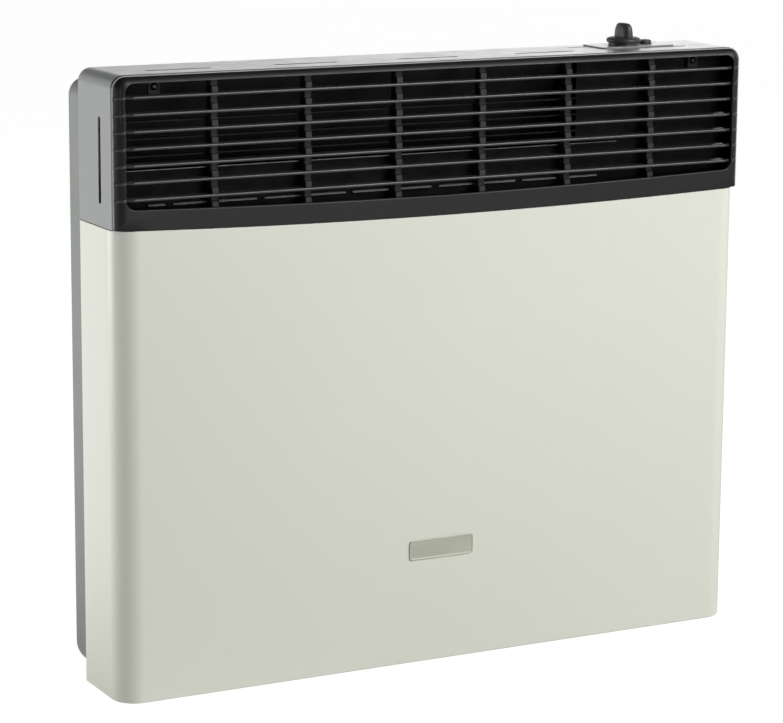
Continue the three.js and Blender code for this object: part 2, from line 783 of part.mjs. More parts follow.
/** The ridge that carries a bar's line round both side rails. */
function barRidges() {
  const half = BAR_NOSE / 2;
  const bands = [];
  for (let bar = 0; bar < BAR_COUNT; bar += 1) {
    const z = barHeight(bar);
    bands.push(block([-WIDTH, WIDTH], [FRONT_Y, FRONT_Y + FRONT_BEND / 2], [z - half, z + half]));
  }
  const sides = join(bands).intersect(grilleSkin(RIDGE_PROUD));
  const middle = HALF_WIDTH - SIDE_RAIL;
  return sides.subtract(block([-middle, middle], [2 * FRONT_Y, 0], [0, HEIGHT]));
}

/** The upright rib behind the bars at a place along X. */
function grilleRib(x) {
  const front = FRONT_Y + RIB_SETBACK;
  const half = RIB_WIDTH / 2;
  return block(
    [x - half, x + half],
    [front, front + RIB_DEPTH],
    [SEAM_HEIGHT - SEAM_SAG + BOTTOM_RAIL / 2, HEIGHT - TOP_RAIL / 2 - GRILLE_WALL],
  );
}

/** The lug that takes a fixing screw, behind the top bar. */
function grilleLug(x) {
  const rear = FRONT_Y + DEFLECTOR_SETBACK - CLEARANCE;
  const top = HEIGHT - hoodMouthInset() - CLEARANCE;
  const lug = block(
    [x - LUG_WIDTH / 2, x + LUG_WIDTH / 2],
    [rear - GRILLE_WALL, rear],
    [top - LUG_HEIGHT, top - OVERCUT],
  );
  const start = rear - GRILLE_WALL - OVERCUT;
  return lug.subtract(rod('y', LUG_HOLE_RADIUS, start, rear + OVERCUT, [x, lugHole()], 12));
}

/** Height of the fixing screws that hold the grille. */
function lugHole() {
  return HEIGHT - hoodMouthInset() - CLEARANCE - LUG_HEIGHT * 0.62;
}

/** Black moulded front: rails, window, seven bars, their ridges and six ribs. */
function frontGrille() {
  const inset = hoodMouthInset() + CLEARANCE + GRILLE_WALL;
  const skirtRear = FRONT_Y + DEFLECTOR_SETBACK;
  const hollow = loftForward([
    { y: skirtRear + OVERCUT, points: hoodOutline(inset) },
    { y: FRONT_Y + GRILLE_SKIRT, points: hoodOutline(inset) },
    { y: FRONT_Y + GRILLE_WALL, points: hoodOutline(FRONT_BEND) },
  ]).intersect(aboveSeam(SEAM_GAP + GRILLE_WALL));
  const frame = cut(grilleSkin(0).add(barRidges()), [hollow, grilleWindow()]);
  const pieces = [frame];
  for (let bar = 0; bar < BAR_COUNT; bar += 1) pieces.push(grilleBar(barHeight(bar)));
  for (let rib = 0; rib < RIB_COUNT; rib += 1) {
    pieces.push(grilleRib(ribPosition(rib)));
  }
  for (const side of [-1, 1]) pieces.push(grilleLug((side * LUG_SPACING) / 2));
  return join(pieces).intersect(aboveSeam(SEAM_GAP));
}

/** Black sheet behind the grille: a forward top lip, a row of pressed lips, and vanes on straps above. */
function airDeflector() {
  const y = FRONT_Y + DEFLECTOR_SETBACK;
  const top = HEIGHT - DEFLECTOR_TOP_DROP;
  const bottom = top - DEFLECTOR_HEIGHT;
  const reach = HALF_WIDTH - SHEET - CLEARANCE;
  const sheet = runAcross(
    sheetShape([[y, top], [y, bottom], [y + DEFLECTOR_FOOT, bottom - DEFLECTOR_FOOT / 2]], SHEET),
    -reach,
    reach,
  );
  const inner = HALF_WIDTH - hoodMouthInset() - CLEARANCE - GRILLE_WALL - 2 * CLEARANCE;
  const lipFront = FRONT_Y + RIB_SETBACK + RIB_DEPTH + CLEARANCE;
  const lip = block([-inner, LIP_RIGHT_EDGE], [lipFront, y + SHEET], [top - SHEET, top]);
  const pieces = [sheet, lip];
  let vaneTop = top;
  for (let i = 0; i < VANE_COUNT; i += 1) {
    vaneTop = top + FIRST_VANE_RISE + i * VANE_PITCH;
    const band = [vaneTop - SHEET, vaneTop];
    pieces.push(block([-inner, GUIDE_RIGHT_EDGE], [lipFront, y + SHEET], band));
  }
  for (let i = 0; i < STRAP_COUNT; i += 1) {
    const band = [ribPosition(i) - STRAP_WIDTH / 2, ribPosition(i) + STRAP_WIDTH / 2];
    pieces.push(block(band, [y, y + SHEET], [top - SHEET, vaneTop]));
  }
  const dashZ = HEIGHT - DASH_DROP;
  for (let i = 0; i < DASH_COUNT; i += 1) {
    const x = FIRST_DASH + i * DASH_PITCH;
    const low = Math.max(x - DASH_LENGTH / 2, DASH_LEFT_EDGE);
    const band = [dashZ - DASH_THICKNESS / 2, dashZ + DASH_THICKNESS / 2];
    pieces.push(block([low, x + DASH_LENGTH / 2], [y - DASH_PROUD, y + SHEET / 2], band));
  }
  return join(pieces);
}

/** Black sheet that turns the rising air towards the grille, hung on the pan. */
function airGuide() {
  const rear = PAN_FLOOR_Y - CLEARANCE - SHEET;
  const foot = EXCHANGER_TOP + 22;
  const line = [
    [rear, foot],
    [rear, foot + 16],
    [rear - 28, foot + 40],
    [FRONT_Y + SLOT_SETBACK + SLOT_WIDTH + 4, HOOD_UNDERSIDE - 8],
  ];
  const left = -HALF_WIDTH + PAN_SIDE_INSET + PAN_SHEET + GUIDE_LEFT_GAP;
  return runAcross(sheetShape(line, -SHEET), left, GUIDE_RIGHT_EDGE);
}

/** Black screen between the hot air and the gas valve: front, left side and a top flange. */
function valveScreen() {
  const front = FRONT_Y + DEFLECTOR_SETBACK + SHEET + CLEARANCE;
  const rear = CASING_REAR_Y - PAN_OVERLAP - CLEARANCE;
  const bottom = HEIGHT - DEFLECTOR_TOP_DROP - DEFLECTOR_HEIGHT + SCREEN_FOOT_GAP;
  const top = HOOD_UNDERSIDE - CLEARANCE;
  const left = GUIDE_RIGHT_EDGE + SCREEN_GAP;
  const sheets = join([
    block([left, WIDTH], [front, front + SHEET], [bottom, HEIGHT]),
    block([left, left + SHEET], [front, rear], [bottom, HEIGHT]),
    block([left, WIDTH], [front, front + SCREEN_FLANGE], [top - SHEET, HEIGHT]),
  ]);
  const inside = loftForward([
    { y: rear + OVERCUT, points: hoodOutline(SHEET + CLEARANCE) },
    { y: front - OVERCUT, points: hoodOutline(SHEET + CLEARANCE) },
  ]);
  const screwHole = rod('y', LUG_HOLE_RADIUS, front - OVERCUT, front + SHEET + OVERCUT, [
    LUG_SPACING / 2,
    lugHole(),
  ], 12);
  return sheets.intersect(inside).subtract(screwHole);
}

// ================================================================ controls

/** Knob with a round base, a tapered domed grip and a blind bore for the spindle. */
function controlKnob() {
  const base = rod('z', KNOB_RADIUS, KNOB_BOTTOM, KNOB_BOTTOM + KNOB_BASE_HEIGHT * 0.6, [0, 0], 40);
  const slope = rod(
    'z',
    KNOB_RADIUS,
    KNOB_BOTTOM + KNOB_BASE_HEIGHT * 0.6,
    KNOB_BOTTOM + KNOB_BASE_HEIGHT,
    [0, 0],
    40,
    KNOB_RADIUS - 3,
  );
  const bore = rod(
    'z',
    SPINDLE_RADIUS + CLEARANCE,
    KNOB_BOTTOM - OVERCUT,
    spindleTop() + CLEARANCE,
    [0, 0],
    20,
  );
  return join([base, slope, knobGrip()]).subtract(bore);
}

/** The grip: slabs of a long rounded plan that shrink towards a dome. */
function knobGrip() {
  const foot = KNOB_BOTTOM + KNOB_BASE_HEIGHT - OVERCUT;
  const rise = KNOB_GRIP_HEIGHT + OVERCUT;
  const steps = 7;
  const stations = [];
  for (let i = 0; i <= steps; i += 1) {
    const t = i / steps;
    const shrink = 1 - 0.12 * t - 0.5 * t ** 5;
    const halfWidth = (KNOB_GRIP_WIDTH / 2) * shrink;
    const halfLength = (KNOB_GRIP_LENGTH / 2) * (1 - 0.1 * t - 0.22 * t ** 5);
    const dome = Math.sin(0.5 * Math.PI * t);
    const points = roundedOutline({
      left: -halfWidth,
      right: halfWidth,
      bottom: -halfLength,
      top: halfLength,
      topRadius: halfWidth * 0.96,
      bottomRadius: halfWidth * 0.96,
      steps: 5,
    });
    stations.push({ y: -(foot + rise * (0.35 * t + 0.65 * dome)), points });
  }
  return loftForward(stations).rotate([-90, 0, 0]);
}

/** The top of the spindle inside the knob. */
function spindleTop() {
  return KNOB_BOTTOM + KNOB_BASE_HEIGHT + KNOB_GRIP_HEIGHT / 2;
}

/** The bottom of the spindle, where it meets the valve's plunger. */
function spindleFoot() {
  return VALVE_TOP + CLEARANCE + PLUNGER_LENGTH / 3;
}

/** Round steel spindle from the knob down into the valve's bonnet. */
function knobSpindle() {
  return rod('z', SPINDLE_RADIUS, spindleFoot(), spindleTop(), [0, 0], 20);
}

/** The plunger that the spindle presses into the valve. */
function valvePlunger() {
  const top = spindleFoot() - CLEARANCE;
  return rod('z', PLUNGER_RADIUS, top - PLUNGER_LENGTH, top, [0, 0], 24);
}

/** The spring below the plunger. */
function plungerSpring() {
  const top = spindleFoot() - 2 * CLEARANCE - PLUNGER_LENGTH;
  return coilSpring(PLUNGER_RADIUS - 2, 0.8, 4, top - PLUNGER_SPRING_LENGTH, top);
}

/** The floor of the bore that holds the plunger and its spring. */
function plungerBoreFloor() {
  return spindleFoot() - 3 * CLEARANCE - PLUNGER_LENGTH - PLUNGER_SPRING_LENGTH;
}

/** Cast aluminium valve body with a plunger bore, two lower bosses and a tapping plug. */
function gasValveBody() {
  const y0 = KNOB_Y - VALVE_DEPTH / 2;
  const y1 = KNOB_Y + VALVE_DEPTH / 2;
  const main = raised(roundedShape(VALVE_LEFT, VALVE_RIGHT, y0, y1, 8), VALVE_BOTTOM, VALVE_TOP);
  const front = rod('y', 15, y0 - 6, y0 + OVERCUT, [valveMiddle(), VALVE_BOTTOM + 32], 24);
  const bosses = [];
  for (const [x, radius] of [[supplyX(), 10], [manifoldX(), 9]]) {
    bosses.push(rod('z', radius, VALVE_BOTTOM - 6, VALVE_BOTTOM + OVERCUT, [x, KNOB_Y], 24));
  }
  const bore = rod(
    'z',
    PLUNGER_RADIUS + BORE_CLEARANCE,
    plungerBoreFloor(),
    VALVE_TOP + OVERCUT,
    [KNOB_X, KNOB_Y],
  );
  return join([main, front, ...bosses]).subtract(bore);
}

/** Moulded bonnet on the valve, bored for the plunger's head and the spindle. */
function gasValveBonnet() {
  const foot = VALVE_TOP + CLEARANCE;
  const shoulder = foot + BONNET_HEIGHT * 0.55;
  const centre = [KNOB_X, KNOB_Y];
  const base = rod('z', BONNET_RADIUS, foot, shoulder, centre, 32);
  const neck = rod('z', BONNET_RADIUS * 0.7, shoulder - OVERCUT, foot + BONNET_HEIGHT, centre, 32);
  const headRoom = spindleFoot() + 2 * CLEARANCE;
  const head = rod('z', PLUNGER_RADIUS + BORE_CLEARANCE, foot - OVERCUT, headRoom, centre);
  const spindleBore = rod(
    'z',
    SPINDLE_RADIUS + CLEARANCE,
    foot,
    foot + BONNET_HEIGHT + OVERCUT,
    centre,
  );
  return cut(join([base, neck]), [head, spindleBore]);
}

/** X of the valve's middle, of its supply boss and of its manifold boss. */
function valveMiddle() {
  return (VALVE_LEFT + VALVE_RIGHT) / 2;
}

function supplyX() {
  return VALVE_RIGHT - 20;
}

function manifoldX() {
  return VALVE_LEFT + 16;
}

/** Sheet bracket that ties the valve's back to the pan. */
function valveBracket() {
  const valveBack = KNOB_Y + VALVE_DEPTH / 2 + CLEARANCE + EXCHANGER_SHEET;
  const wall = PAN_FLOOR_Y - CLEARANCE;
  const low = VALVE_BOTTOM + 20;
  const high = VALVE_TOP - 20;
  const shape = sheetShape(
    [
      [wall, low - 24],
      [wall, low],
      [valveBack, low],
      [valveBack, high],
    ],
    EXCHANGER_SHEET,
  );
  return runAcross(shape, VALVE_LEFT + 10, VALVE_RIGHT - 10);
}

/** Threaded barrel of the piezo igniter, open at the top. */
function igniterBody() {
  const outer = BUTTON_RADIUS + CLEARANCE + BARREL_WALL;
  const foot = PLATE_TOP - BARREL_LENGTH;
  const barrel = rod('z', outer, foot, PLATE_TOP, [0, 0], 28);
  const terminal = rod('z', 2.5, foot - 6, foot + OVERCUT, [0, 0], 12);
  const bore = rod('z', BUTTON_RADIUS + CLEARANCE, foot + BARREL_FLOOR, PLATE_TOP + OVERCUT, [0, 0]);
  return join([barrel, terminal]).subtract(bore);
}

/** Round push button with a chamfered crown. */
function igniterButton() {
  const top = PLATE_TOP + BUTTON_PROUD;
  const shank = rod('z', BUTTON_RADIUS, top - BUTTON_LENGTH, top - 1.2, [0, 0], 32);
  const crown = rod('z', BUTTON_RADIUS, top - 1.2, top, [0, 0], 32, BUTTON_RADIUS - 1.4);
  return join([shank, crown]);
}

/** The button's return spring. */
function igniterSpring() {
  const foot = PLATE_TOP - BARREL_LENGTH + BARREL_FLOOR + CLEARANCE;
  const top = PLATE_TOP + BUTTON_PROUD - BUTTON_LENGTH - CLEARANCE;
  return coilSpring(BUTTON_RADIUS - 2, 0.6, 4, foot, top);
}

/** Nut that clamps the barrel under the hood. */
function igniterNut() {
  const bore = BUTTON_RADIUS + 2 * CLEARANCE + BARREL_WALL;
  const top = HOOD_UNDERSIDE - CLEARANCE;
  return hexNut('z', bore + 4.5, bore, top - 4, top, [0, 0]);
}

// ================================================================ heat exchanger

/** The exchanger's section in Y and Z, inset by a distance. */
function exchangerSection(inset) {
  return roundedShape(
    -EXCHANGER_FRONT + inset,
    -EXCHANGER_REAR - inset,
    EXCHANGER_BOTTOM + inset,
    EXCHANGER_TOP - inset,
    EXCHANGER_CORNER - inset,
  );
}

/** Where the sight glass sits on the exchanger's front. */
function sightGlassCentre() {
  return [EXCHANGER_RIGHT - SIGHT_GLASS_INSET, BURNER_HEIGHT + SIGHT_GLASS_RISE];
}

/** Welded steel duct that the flame heats, open at both ends. */
function exchangerBody() {
  const outer = runAcross(exchangerSection(0), EXCHANGER_LEFT, EXCHANGER_RIGHT);
  const inner = runAcross(
    exchangerSection(EXCHANGER_SHEET),
    EXCHANGER_LEFT - OVERCUT,
    EXCHANGER_RIGHT + OVERCUT,
  );
  const bore = DUCT_RADIUS - DUCT_WALL;
  const rear = [-EXCHANGER_REAR - EXCHANGER_SHEET - OVERCUT, -EXCHANGER_REAR + OVERCUT];
  const front = [-EXCHANGER_FRONT - OVERCUT, -EXCHANGER_FRONT + EXCHANGER_SHEET + OVERCUT];
  return cut(outer, [
    inner,
    rod('y', bore, ...rear, [EXCHANGER_X, EXHAUST_HEIGHT], 32),
    rod('y', bore, ...rear, [EXCHANGER_X, INTAKE_HEIGHT], 32),
    rod('y', 10, ...front, sightGlassCentre(), 24),
  ]);
}

/** The opening in the right end cap that the burner passes through, as [low, high] pairs. */
function burnerPort() {
  return { y: [BURNER_Y - 32, BURNER_Y + 32], z: [BURNER_HEIGHT - 24, BURNER_HEIGHT + 56] };
}

/** Pressed cap that closes one end of the exchanger: a flanged plate with a plug rim. */
function exchangerCap(side) {
  const edge = side < 0 ? EXCHANGER_LEFT : EXCHANGER_RIGHT;
  const span = (from, to) => [edge + side * from, edge + side * to].sort((a, b) => a - b);
  const plate = runAcross(
    exchangerSection(-CAP_FLANGE),
    ...span(CLEARANCE, CLEARANCE + EXCHANGER_SHEET),
  );
  const plugInset = EXCHANGER_SHEET + CLEARANCE;
  const plug = runAcross(exchangerSection(plugInset), ...span(-CAP_PLUG, CLEARANCE + 0.1));
  const hollow = runAcross(
    exchangerSection(plugInset + EXCHANGER_SHEET),
    ...span(-CAP_PLUG - OVERCUT, CLEARANCE),
  );
  return join([plate, plug]).subtract(hollow);
}

/** The right cap, with its burner opening. */
function exchangerCapRight() {
  const port = burnerPort();
  const through = [EXCHANGER_RIGHT - OVERCUT, EXCHANGER_RIGHT + 4];
  return exchangerCap(1).subtract(block(through, port.y, port.z));
}

/** Sheet inside the exchanger that makes the hot gas go the long way round. */
function exchangerBaffle() {
  const inset = EXCHANGER_SHEET + CLEARANCE;
  const [y0, y1] = [-EXCHANGER_FRONT + inset, -EXCHANGER_REAR - inset];
  const middle = (EXHAUST_HEIGHT + INTAKE_HEIGHT) / 2 + 20;
  const shape = sheetShape(
    [[y0, middle - 14], [y0, middle], [y1, middle], [y1, middle - 14]],
    -EXCHANGER_SHEET,
  );
  return runAcross(shape, EXCHANGER_LEFT + CAP_PLUG + 20, EXCHANGER_RIGHT - CAP_PLUG - BAFFLE_RIGHT_GAP);
}

/** Hat-section bracket that holds the exchanger's back off the pan. */
function exchangerBracket() {
  const wall = PAN_FLOOR_Y - CLEARANCE;
  const back = -EXCHANGER_REAR + CLEARANCE + EXCHANGER_SHEET;
  const shape = sheetShape(
    [[-34, wall], [-16, wall], [-16, back], [16, back], [16, wall], [34, wall]],
    -EXCHANGER_SHEET,
  );
  return raised(shape, BACK_BRACKET_FOOT, BACK_BRACKET_TOP);
}

/** Round sheet duct with a flange at its inner end, flush with the wall at its outer end. */
function ductSpigot(height) {
  const centre = [EXCHANGER_X, height];
  const seat = -EXCHANGER_REAR + GASKET;
  const bore = DUCT_RADIUS - DUCT_WALL;
  const flange = rod('y', DUCT_RADIUS + DUCT_FLANGE, seat, seat + DUCT_WALL, centre, 32);
  const tube = rod('y', DUCT_RADIUS, seat, 0, centre, 32);
  return join([flange, tube]).subtract(rod('y', bore, seat - OVERCUT, OVERCUT, centre, 32));
}

/** Flat fibre ring between a duct's flange and the exchanger. */
function ductGasket(height) {
  const centre = [EXCHANGER_X, height];
  const seat = -EXCHANGER_REAR;
  return ring('y', DUCT_RADIUS + DUCT_FLANGE, DUCT_RADIUS - DUCT_WALL, seat, seat + GASKET, centre, 32);
}

/** Sheet in front of the exchanger that keeps the casing cool. */
function heatShield() {
  const y = -EXCHANGER_FRONT - SHIELD_SETBACK;
  const top = EXCHANGER_TOP - 4;
  const shape = sheetShape([[y, SHIELD_FOOT], [y, top], [y + SHIELD_SETBACK / 2, top + 8]], -SHEET);
  const sheet = runAcross(shape, EXCHANGER_LEFT - 20, EXCHANGER_RIGHT + 20);
  return sheet.subtract(rod('y', 18, y - 4, y + 4, sightGlassCentre(), 28));
}

/** Round spacer between the exchanger's front and the shield. */
function shieldSpacer() {
  const rear = -EXCHANGER_FRONT - CLEARANCE;
  return rod('y', 6, -EXCHANGER_FRONT - SHIELD_SETBACK + SHEET + CLEARANCE, rear, [0, 0], 16);
}

/** Clear disc over the exchanger's sight hole. */
function sightGlass() {
  const rear = -EXCHANGER_FRONT - CLEARANCE;
  return rod('y', 14, rear - 3, rear, [0, 0], 28);
}

/** Ring that clamps the sight glass. */
function sightGlassRing() {
  const rear = -EXCHANGER_FRONT - CLEARANCE;
  const outer = ring('y', 17, 14 + CLEARANCE, rear - 4, rear, [0, 0]);
  return outer.add(ring('y', 17, 11, rear - 4.8, rear - 3 - CLEARANCE, [0, 0]));
}

// ================================================================ burner

/** X of the burner's end plate face. */
function endPlateX() {
  return EXCHANGER_RIGHT + CLEARANCE + EXCHANGER_SHEET;
}

/** Centre of each piece that passes through the end plate, as [y, z]. */
function pilotCentre() {
  return [BURNER_Y - 14, BURNER_HEIGHT + 34];
}

function electrodeCentre() {
  return [BURNER_Y + 4, BURNER_HEIGHT + 40];
}

function thermocoupleCentre() {
  return [BURNER_Y + 20, BURNER_HEIGHT + 30];
}


/** The holes through the end plate and its gasket. */
function endPlateHoles(x0, x1) {
  return [
    rod('x', BURNER_RADIUS + CLEARANCE, x0, x1, [BURNER_Y, BURNER_HEIGHT]),
    rod('x', PILOT_HEAD + CLEARANCE, x0, x1, pilotCentre(), 20),
    rod('x', INSULATOR_RADIUS + CLEARANCE, x0, x1, electrodeCentre(), 20),
    rod('x', THERMOCOUPLE_RADIUS + CLEARANCE, x0, x1, thermocoupleCentre(), 20),
  ];
}

/** A plate over the burner opening between two planes. */
function portCover(x0, x1) {
  const port = burnerPort();
  const shape = roundedShape(port.y[0] - 6, port.y[1] + 6, port.z[0] - 6, port.z[1] + 6, 5);
  const plate = runAcross(shape, x0, x1);
  return cut(plate, endPlateHoles(x0 - OVERCUT, x1 + OVERCUT));
}

/** Perforated burner tube with a closed far end and a flared air mouth. */
function burnerTube() {
  const centre = [BURNER_Y, BURNER_HEIGHT];
  const right = endPlateX() + BURNER_PIPE_REACH / 2;
  const left = right - BURNER_LENGTH;
  const flare = rod('x', BURNER_RADIUS, right - 2, right + 12, centre, 20, BURNER_MOUTH);
  const outer = rod('x', BURNER_RADIUS, left, right, centre, 20).add(flare);
  const bore = rod('x', BURNER_RADIUS - BURNER_WALL, left + BURNER_WALL, right + 13, centre, 20);
  const ports = [];
  for (let i = 0; i < PORT_COUNT; i += 1) {
    const x = left + 24 + i * PORT_PITCH;
    ports.push(
      block(
        [x - PORT_WIDTH / 2, x + PORT_WIDTH / 2],
        [BURNER_Y - PORT_LENGTH / 2, BURNER_Y + PORT_LENGTH / 2],
        [BURNER_HEIGHT, BURNER_HEIGHT + BURNER_RADIUS + OVERCUT],
      ),
    );
  }
  return cut(outer, [bore, ...ports]);
}

/** X of the injector's nose inside the burner's mouth. */
function injectorNose() {
  return endPlateX() + BURNER_PIPE_REACH / 2 + 6;
}

/** Brass injector: a hexagon with a small nozzle that points into the burner. */
function injector() {
  const centre = [BURNER_Y, BURNER_HEIGHT];
  const nose = injectorNose();
  const nozzle = rod('x', 3, nose, nose + 12, centre, 16, 5);
  const hexagon = rod('x', 8, nose + 11, nose + 23, centre, 6);
  return join([nozzle, hexagon]).subtract(rod('x', 1, nose - OVERCUT, nose + 20, centre, 8));
}

/** Pilot burner: a slotted head on a short tube. */
function pilotBurner() {
  const x = endPlateX();
  const head = rod('x', PILOT_HEAD, x - 34, x + 12, pilotCentre(), 20);
  const [y, z] = pilotCentre();
  const slot = block([x - 32, x - 24], [y - PILOT_HEAD - 1, y + PILOT_HEAD + 1], [z, z + 6]);
  return head.subtract(slot);
}

/** Ceramic tube round the spark electrode. */
function electrodeInsulator() {
  const x = endPlateX();
  return ring('x', INSULATOR_RADIUS, 1.1 + CLEARANCE, x - 22, x + 20, electrodeCentre(), 20);
}

/** Spark electrode: a thin wire that bends towards the pilot head. */
function sparkElectrode() {
  const x = endPlateX();
  const [y, z] = electrodeCentre();
  return pipe([[x + 24, y, z], [x - 27, y, z], [x - 27, y - 9, z + 2]], 1.1, 3, 6);
}

/** Thermocouple: a brass-sheathed tip whose lead runs up to the valve. */
function thermocouple() {
  const x = endPlateX();
  const [y, z] = thermocoupleCentre();
  const tip = rod('x', THERMOCOUPLE_RADIUS, x - 30, x + 14, [y, z], 16);
  const leadX = VALVE_LEFT + 40;
  const lead = pipe(
    [[x + 12, y, z], [leadX, y, z], [leadX, KNOB_Y + 18, VALVE_BOTTOM - CLEARANCE]],
    LEAD_RADIUS,
    14,
    6,
  );
  return tip.add(lead);
}

// ================================================================ gas pipes

/** Copper supply pipe from the inlet union up to the valve. */
function supplyPipe() {
  const top = VALVE_BOTTOM - 6 - CLEARANCE;
  const centre = [supplyX(), KNOB_Y];
  return ring('z', SUPPLY_RADIUS, SUPPLY_RADIUS - 1, UNION_BOTTOM + 10, top, centre, 20);
}

/** Brass union nut at the heater's gas inlet; its lower face meets the house pipe. */
function inletUnion() {
  const centre = [supplyX(), KNOB_Y];
  const top = UNION_BOTTOM + UNION_HEIGHT;
  const body = rod('z', UNION_RADIUS, UNION_BOTTOM, top, centre, 6);
  const socket = rod('z', SUPPLY_RADIUS + CLEARANCE, UNION_BOTTOM + 10 - CLEARANCE, top + 1, centre, 24);
  const waterway = rod('z', SUPPLY_RADIUS - 1, UNION_BOTTOM - 1, top, centre, 20);
  return cut(body, [socket, waterway]);
}

/** Nut round a pipe just under one of the valve's bosses. */
function valveNut(x, radius) {
  const top = VALVE_BOTTOM - 6 - CLEARANCE;
  const bore = radius + CLEARANCE;
  return hexNut('z', radius + 5, bore, top - NUT_HEIGHT, top, [x, KNOB_Y]);
}

/** Pipe from the valve down and across to the injector. */
function manifoldPipe() {
  const x = manifoldX();
  const top = VALVE_BOTTOM - 6 - CLEARANCE;
  const end = injectorNose() + 23 + CLEARANCE;
  return pipe(
    [
      [x, KNOB_Y, top],
      [x, KNOB_Y, BURNER_HEIGHT + 60],
      [x, BURNER_Y, BURNER_HEIGHT],
      [end, BURNER_Y, BURNER_HEIGHT],
    ],
    MANIFOLD_RADIUS,
    9,
    10,
  );
}

/** Thin tube from the valve to the pilot burner. */
function pilotTube() {
  const x = VALVE_LEFT + 28;
  const [y, z] = pilotCentre();
  return pipe(
    [[x, KNOB_Y - 18, VALVE_BOTTOM - CLEARANCE], [x, y, z], [endPlateX() + 12 + CLEARANCE, y, z]],
    PILOT_RADIUS,
    12,
  );
}

/** Insulated lead from the igniter to the spark electrode. */
function ignitionWire() {
  const foot = PLATE_TOP - BARREL_LENGTH - 6 - CLEARANCE;
  const [y, z] = electrodeCentre();
  const end = endPlateX() + 24 + CLEARANCE;
  return pipe(
    [
      [IGNITER_X, IGNITER_Y, foot],
      [IGNITER_X, IGNITER_Y, WIRE_KNEE_HEIGHT],
      [end + WIRE_KNEE_REACH, y, z],
      [end, y, z],
    ],
    WIRE_RADIUS,
    16,
    6,
  );
}

/** Sensing bulb near the bottom, with its capillary up to the valve. */
function thermostatBulb() {
  const [x, y, z] = bulbPlace();
  const bulb = rod('x', BULB_RADIUS, x - 45, x + 45, [y, z], 16);
  const top = VALVE_BOTTOM - CLEARANCE;
  const riser = VALVE_RIGHT - 6;
  const capillary = pipe([[x + 44, y, z], [riser, y, z], [riser, KNOB_Y + 12, top]], 1.2, 12, 6);
  return bulb.add(capillary);
}

/** Centre of the sensing bulb. */
function bulbPlace() {
  return [HALF_WIDTH - BULB_INSET, PAN_FLOOR_Y - BULB_STANDOFF, BULB_HEIGHT];
}

/** Sheet clip that holds the bulb to the pan. */
function bulbClip() {
  const [x, y, z] = bulbPlace();
  const wall = PAN_FLOOR_Y - CLEARANCE;
  const under = z - BULB_RADIUS - CLEARANCE - SHEET;
  const front = y - BULB_RADIUS - CLEARANCE;
  const shape = sheetShape([[wall, z - 24], [wall, under], [front, under], [front, z + 2]], SHEET);
  return runAcross(shape, x - 10, x + 10);
}

/** Bracket on the pan that steadies the supply pipe. */
function pipeBracket() {
  const wall = PAN_FLOOR_Y - CLEARANCE;
  const z = 110;
  const front = KNOB_Y - SUPPLY_RADIUS - 10;
  const shape = sheetShape([[wall, z - 30], [wall, z], [front, z]], EXCHANGER_SHEET);
  const sheet = runAcross(shape, supplyX() - 14, supplyX() + 11);
  return sheet.subtract(rod('z', SUPPLY_RADIUS + CLEARANCE, z - 10, z + 10, [supplyX(), KNOB_Y], 24));
}

// ================================================================ screws

/** Pan-head screw along +Y with a cross recess, its head's back at the origin. */
function panScrew(headRadius, headHeight, shankRadius, shankLength) {
  const head = rod('y', headRadius, -headHeight, 0, [0, 0], 20);
  const shank = rod('y', shankRadius, -OVERCUT, shankLength, [0, 0], 12);
  const crossDepth = headHeight * 0.5;
  const arm = headRadius * 0.6;
  const cross = [
    block([-arm, arm], [-headHeight - 1, -headHeight + crossDepth], [-0.4, 0.4]),
    block([-0.4, 0.4], [-headHeight - 1, -headHeight + crossDepth], [-arm, arm]),
  ];
  return cut(join([head, shank]), cross);
}

// ================================================================ materials

/** A surface with a colour, a roughness and a metalness. */
function surface(color, roughness, metalness) {
  return new THREE.MeshStandardMaterial({ color, roughness, metalness });
}

const CREAM = () => surface(0xd8d7ca, 0.45, 0);
const HOOD_GREY = () => surface(0x54585a, 0.38, 0.1);
const PAN_GREY = () => surface(0x868c88, 0.5, 0.1);
const GRILLE_BLACK = () => surface(0x1a1b1b, 0.35, 0);
const SHEET_BLACK = () => surface(0x161616, 0.5, 0.1);
const BADGE_SILVER = () => surface(0xb2b4a5, 0.35, 0.5);
const KNOB_GREY = () => surface(0x484a4b, 0.45, 0);
const STEEL = () => surface(0xb4b6b6, 0.35, 1);
const GALVANISED = () => surface(0xa9adae, 0.45, 0.9);
const SPRING_STEEL = () => surface(0x8f9294, 0.3, 1);
const CAST_ALUMINIUM = () => surface(0xa6a8aa, 0.55, 0.9);
const BRASS = () => surface(0xb5924c, 0.35, 1);
const COPPER = () => surface(0xb06a45, 0.35, 1);
const STOVE_BLACK = () => surface(0x2a2a29, 0.7, 0.2);
const FIBRE = () => surface(0xd9d4c6, 0.95, 0);
const CERAMIC = () => surface(0xeeeae0, 0.3, 0);
const GLASS = () => surface(0xcfd8d6, 0.1, 0);
const BLACK_PLASTIC = () => surface(0x202122, 0.5, 0);
const RED_RUBBER = () => surface(0x8c2f28, 0.6, 0);

// ================================================================ assembly

const group = new THREE.Group();
group.position.set(0, 0, -PAN_CENTRE_HEIGHT);

/** Adds one named piece at a place. */
function piece(name, body, material, place = [0, 0, 0]) {
  const mesh = new THREE.Mesh(geometryOf(body), material());
  mesh.name = name;
  mesh.position.set(...place);
  group.add(mesh);
}

function addShells() {
  piece('rear_pan', rearPan(), PAN_GREY);
  piece('front_casing', frontCasing(), CREAM);
  piece('top_hood', topHood(), HOOD_GREY);
  piece('front_grille', frontGrille(), GRILLE_BLACK);
  piece('air_deflector', airDeflector(), SHEET_BLACK);
  piece('air_guide', airGuide(), SHEET_BLACK);
  piece('valve_screen', valveScreen(), SHEET_BLACK);
  piece('badge_plate', badgePlate(), BADGE_SILVER);
  piece('control_plate', controlPlate(), HOOD_GREY);
}

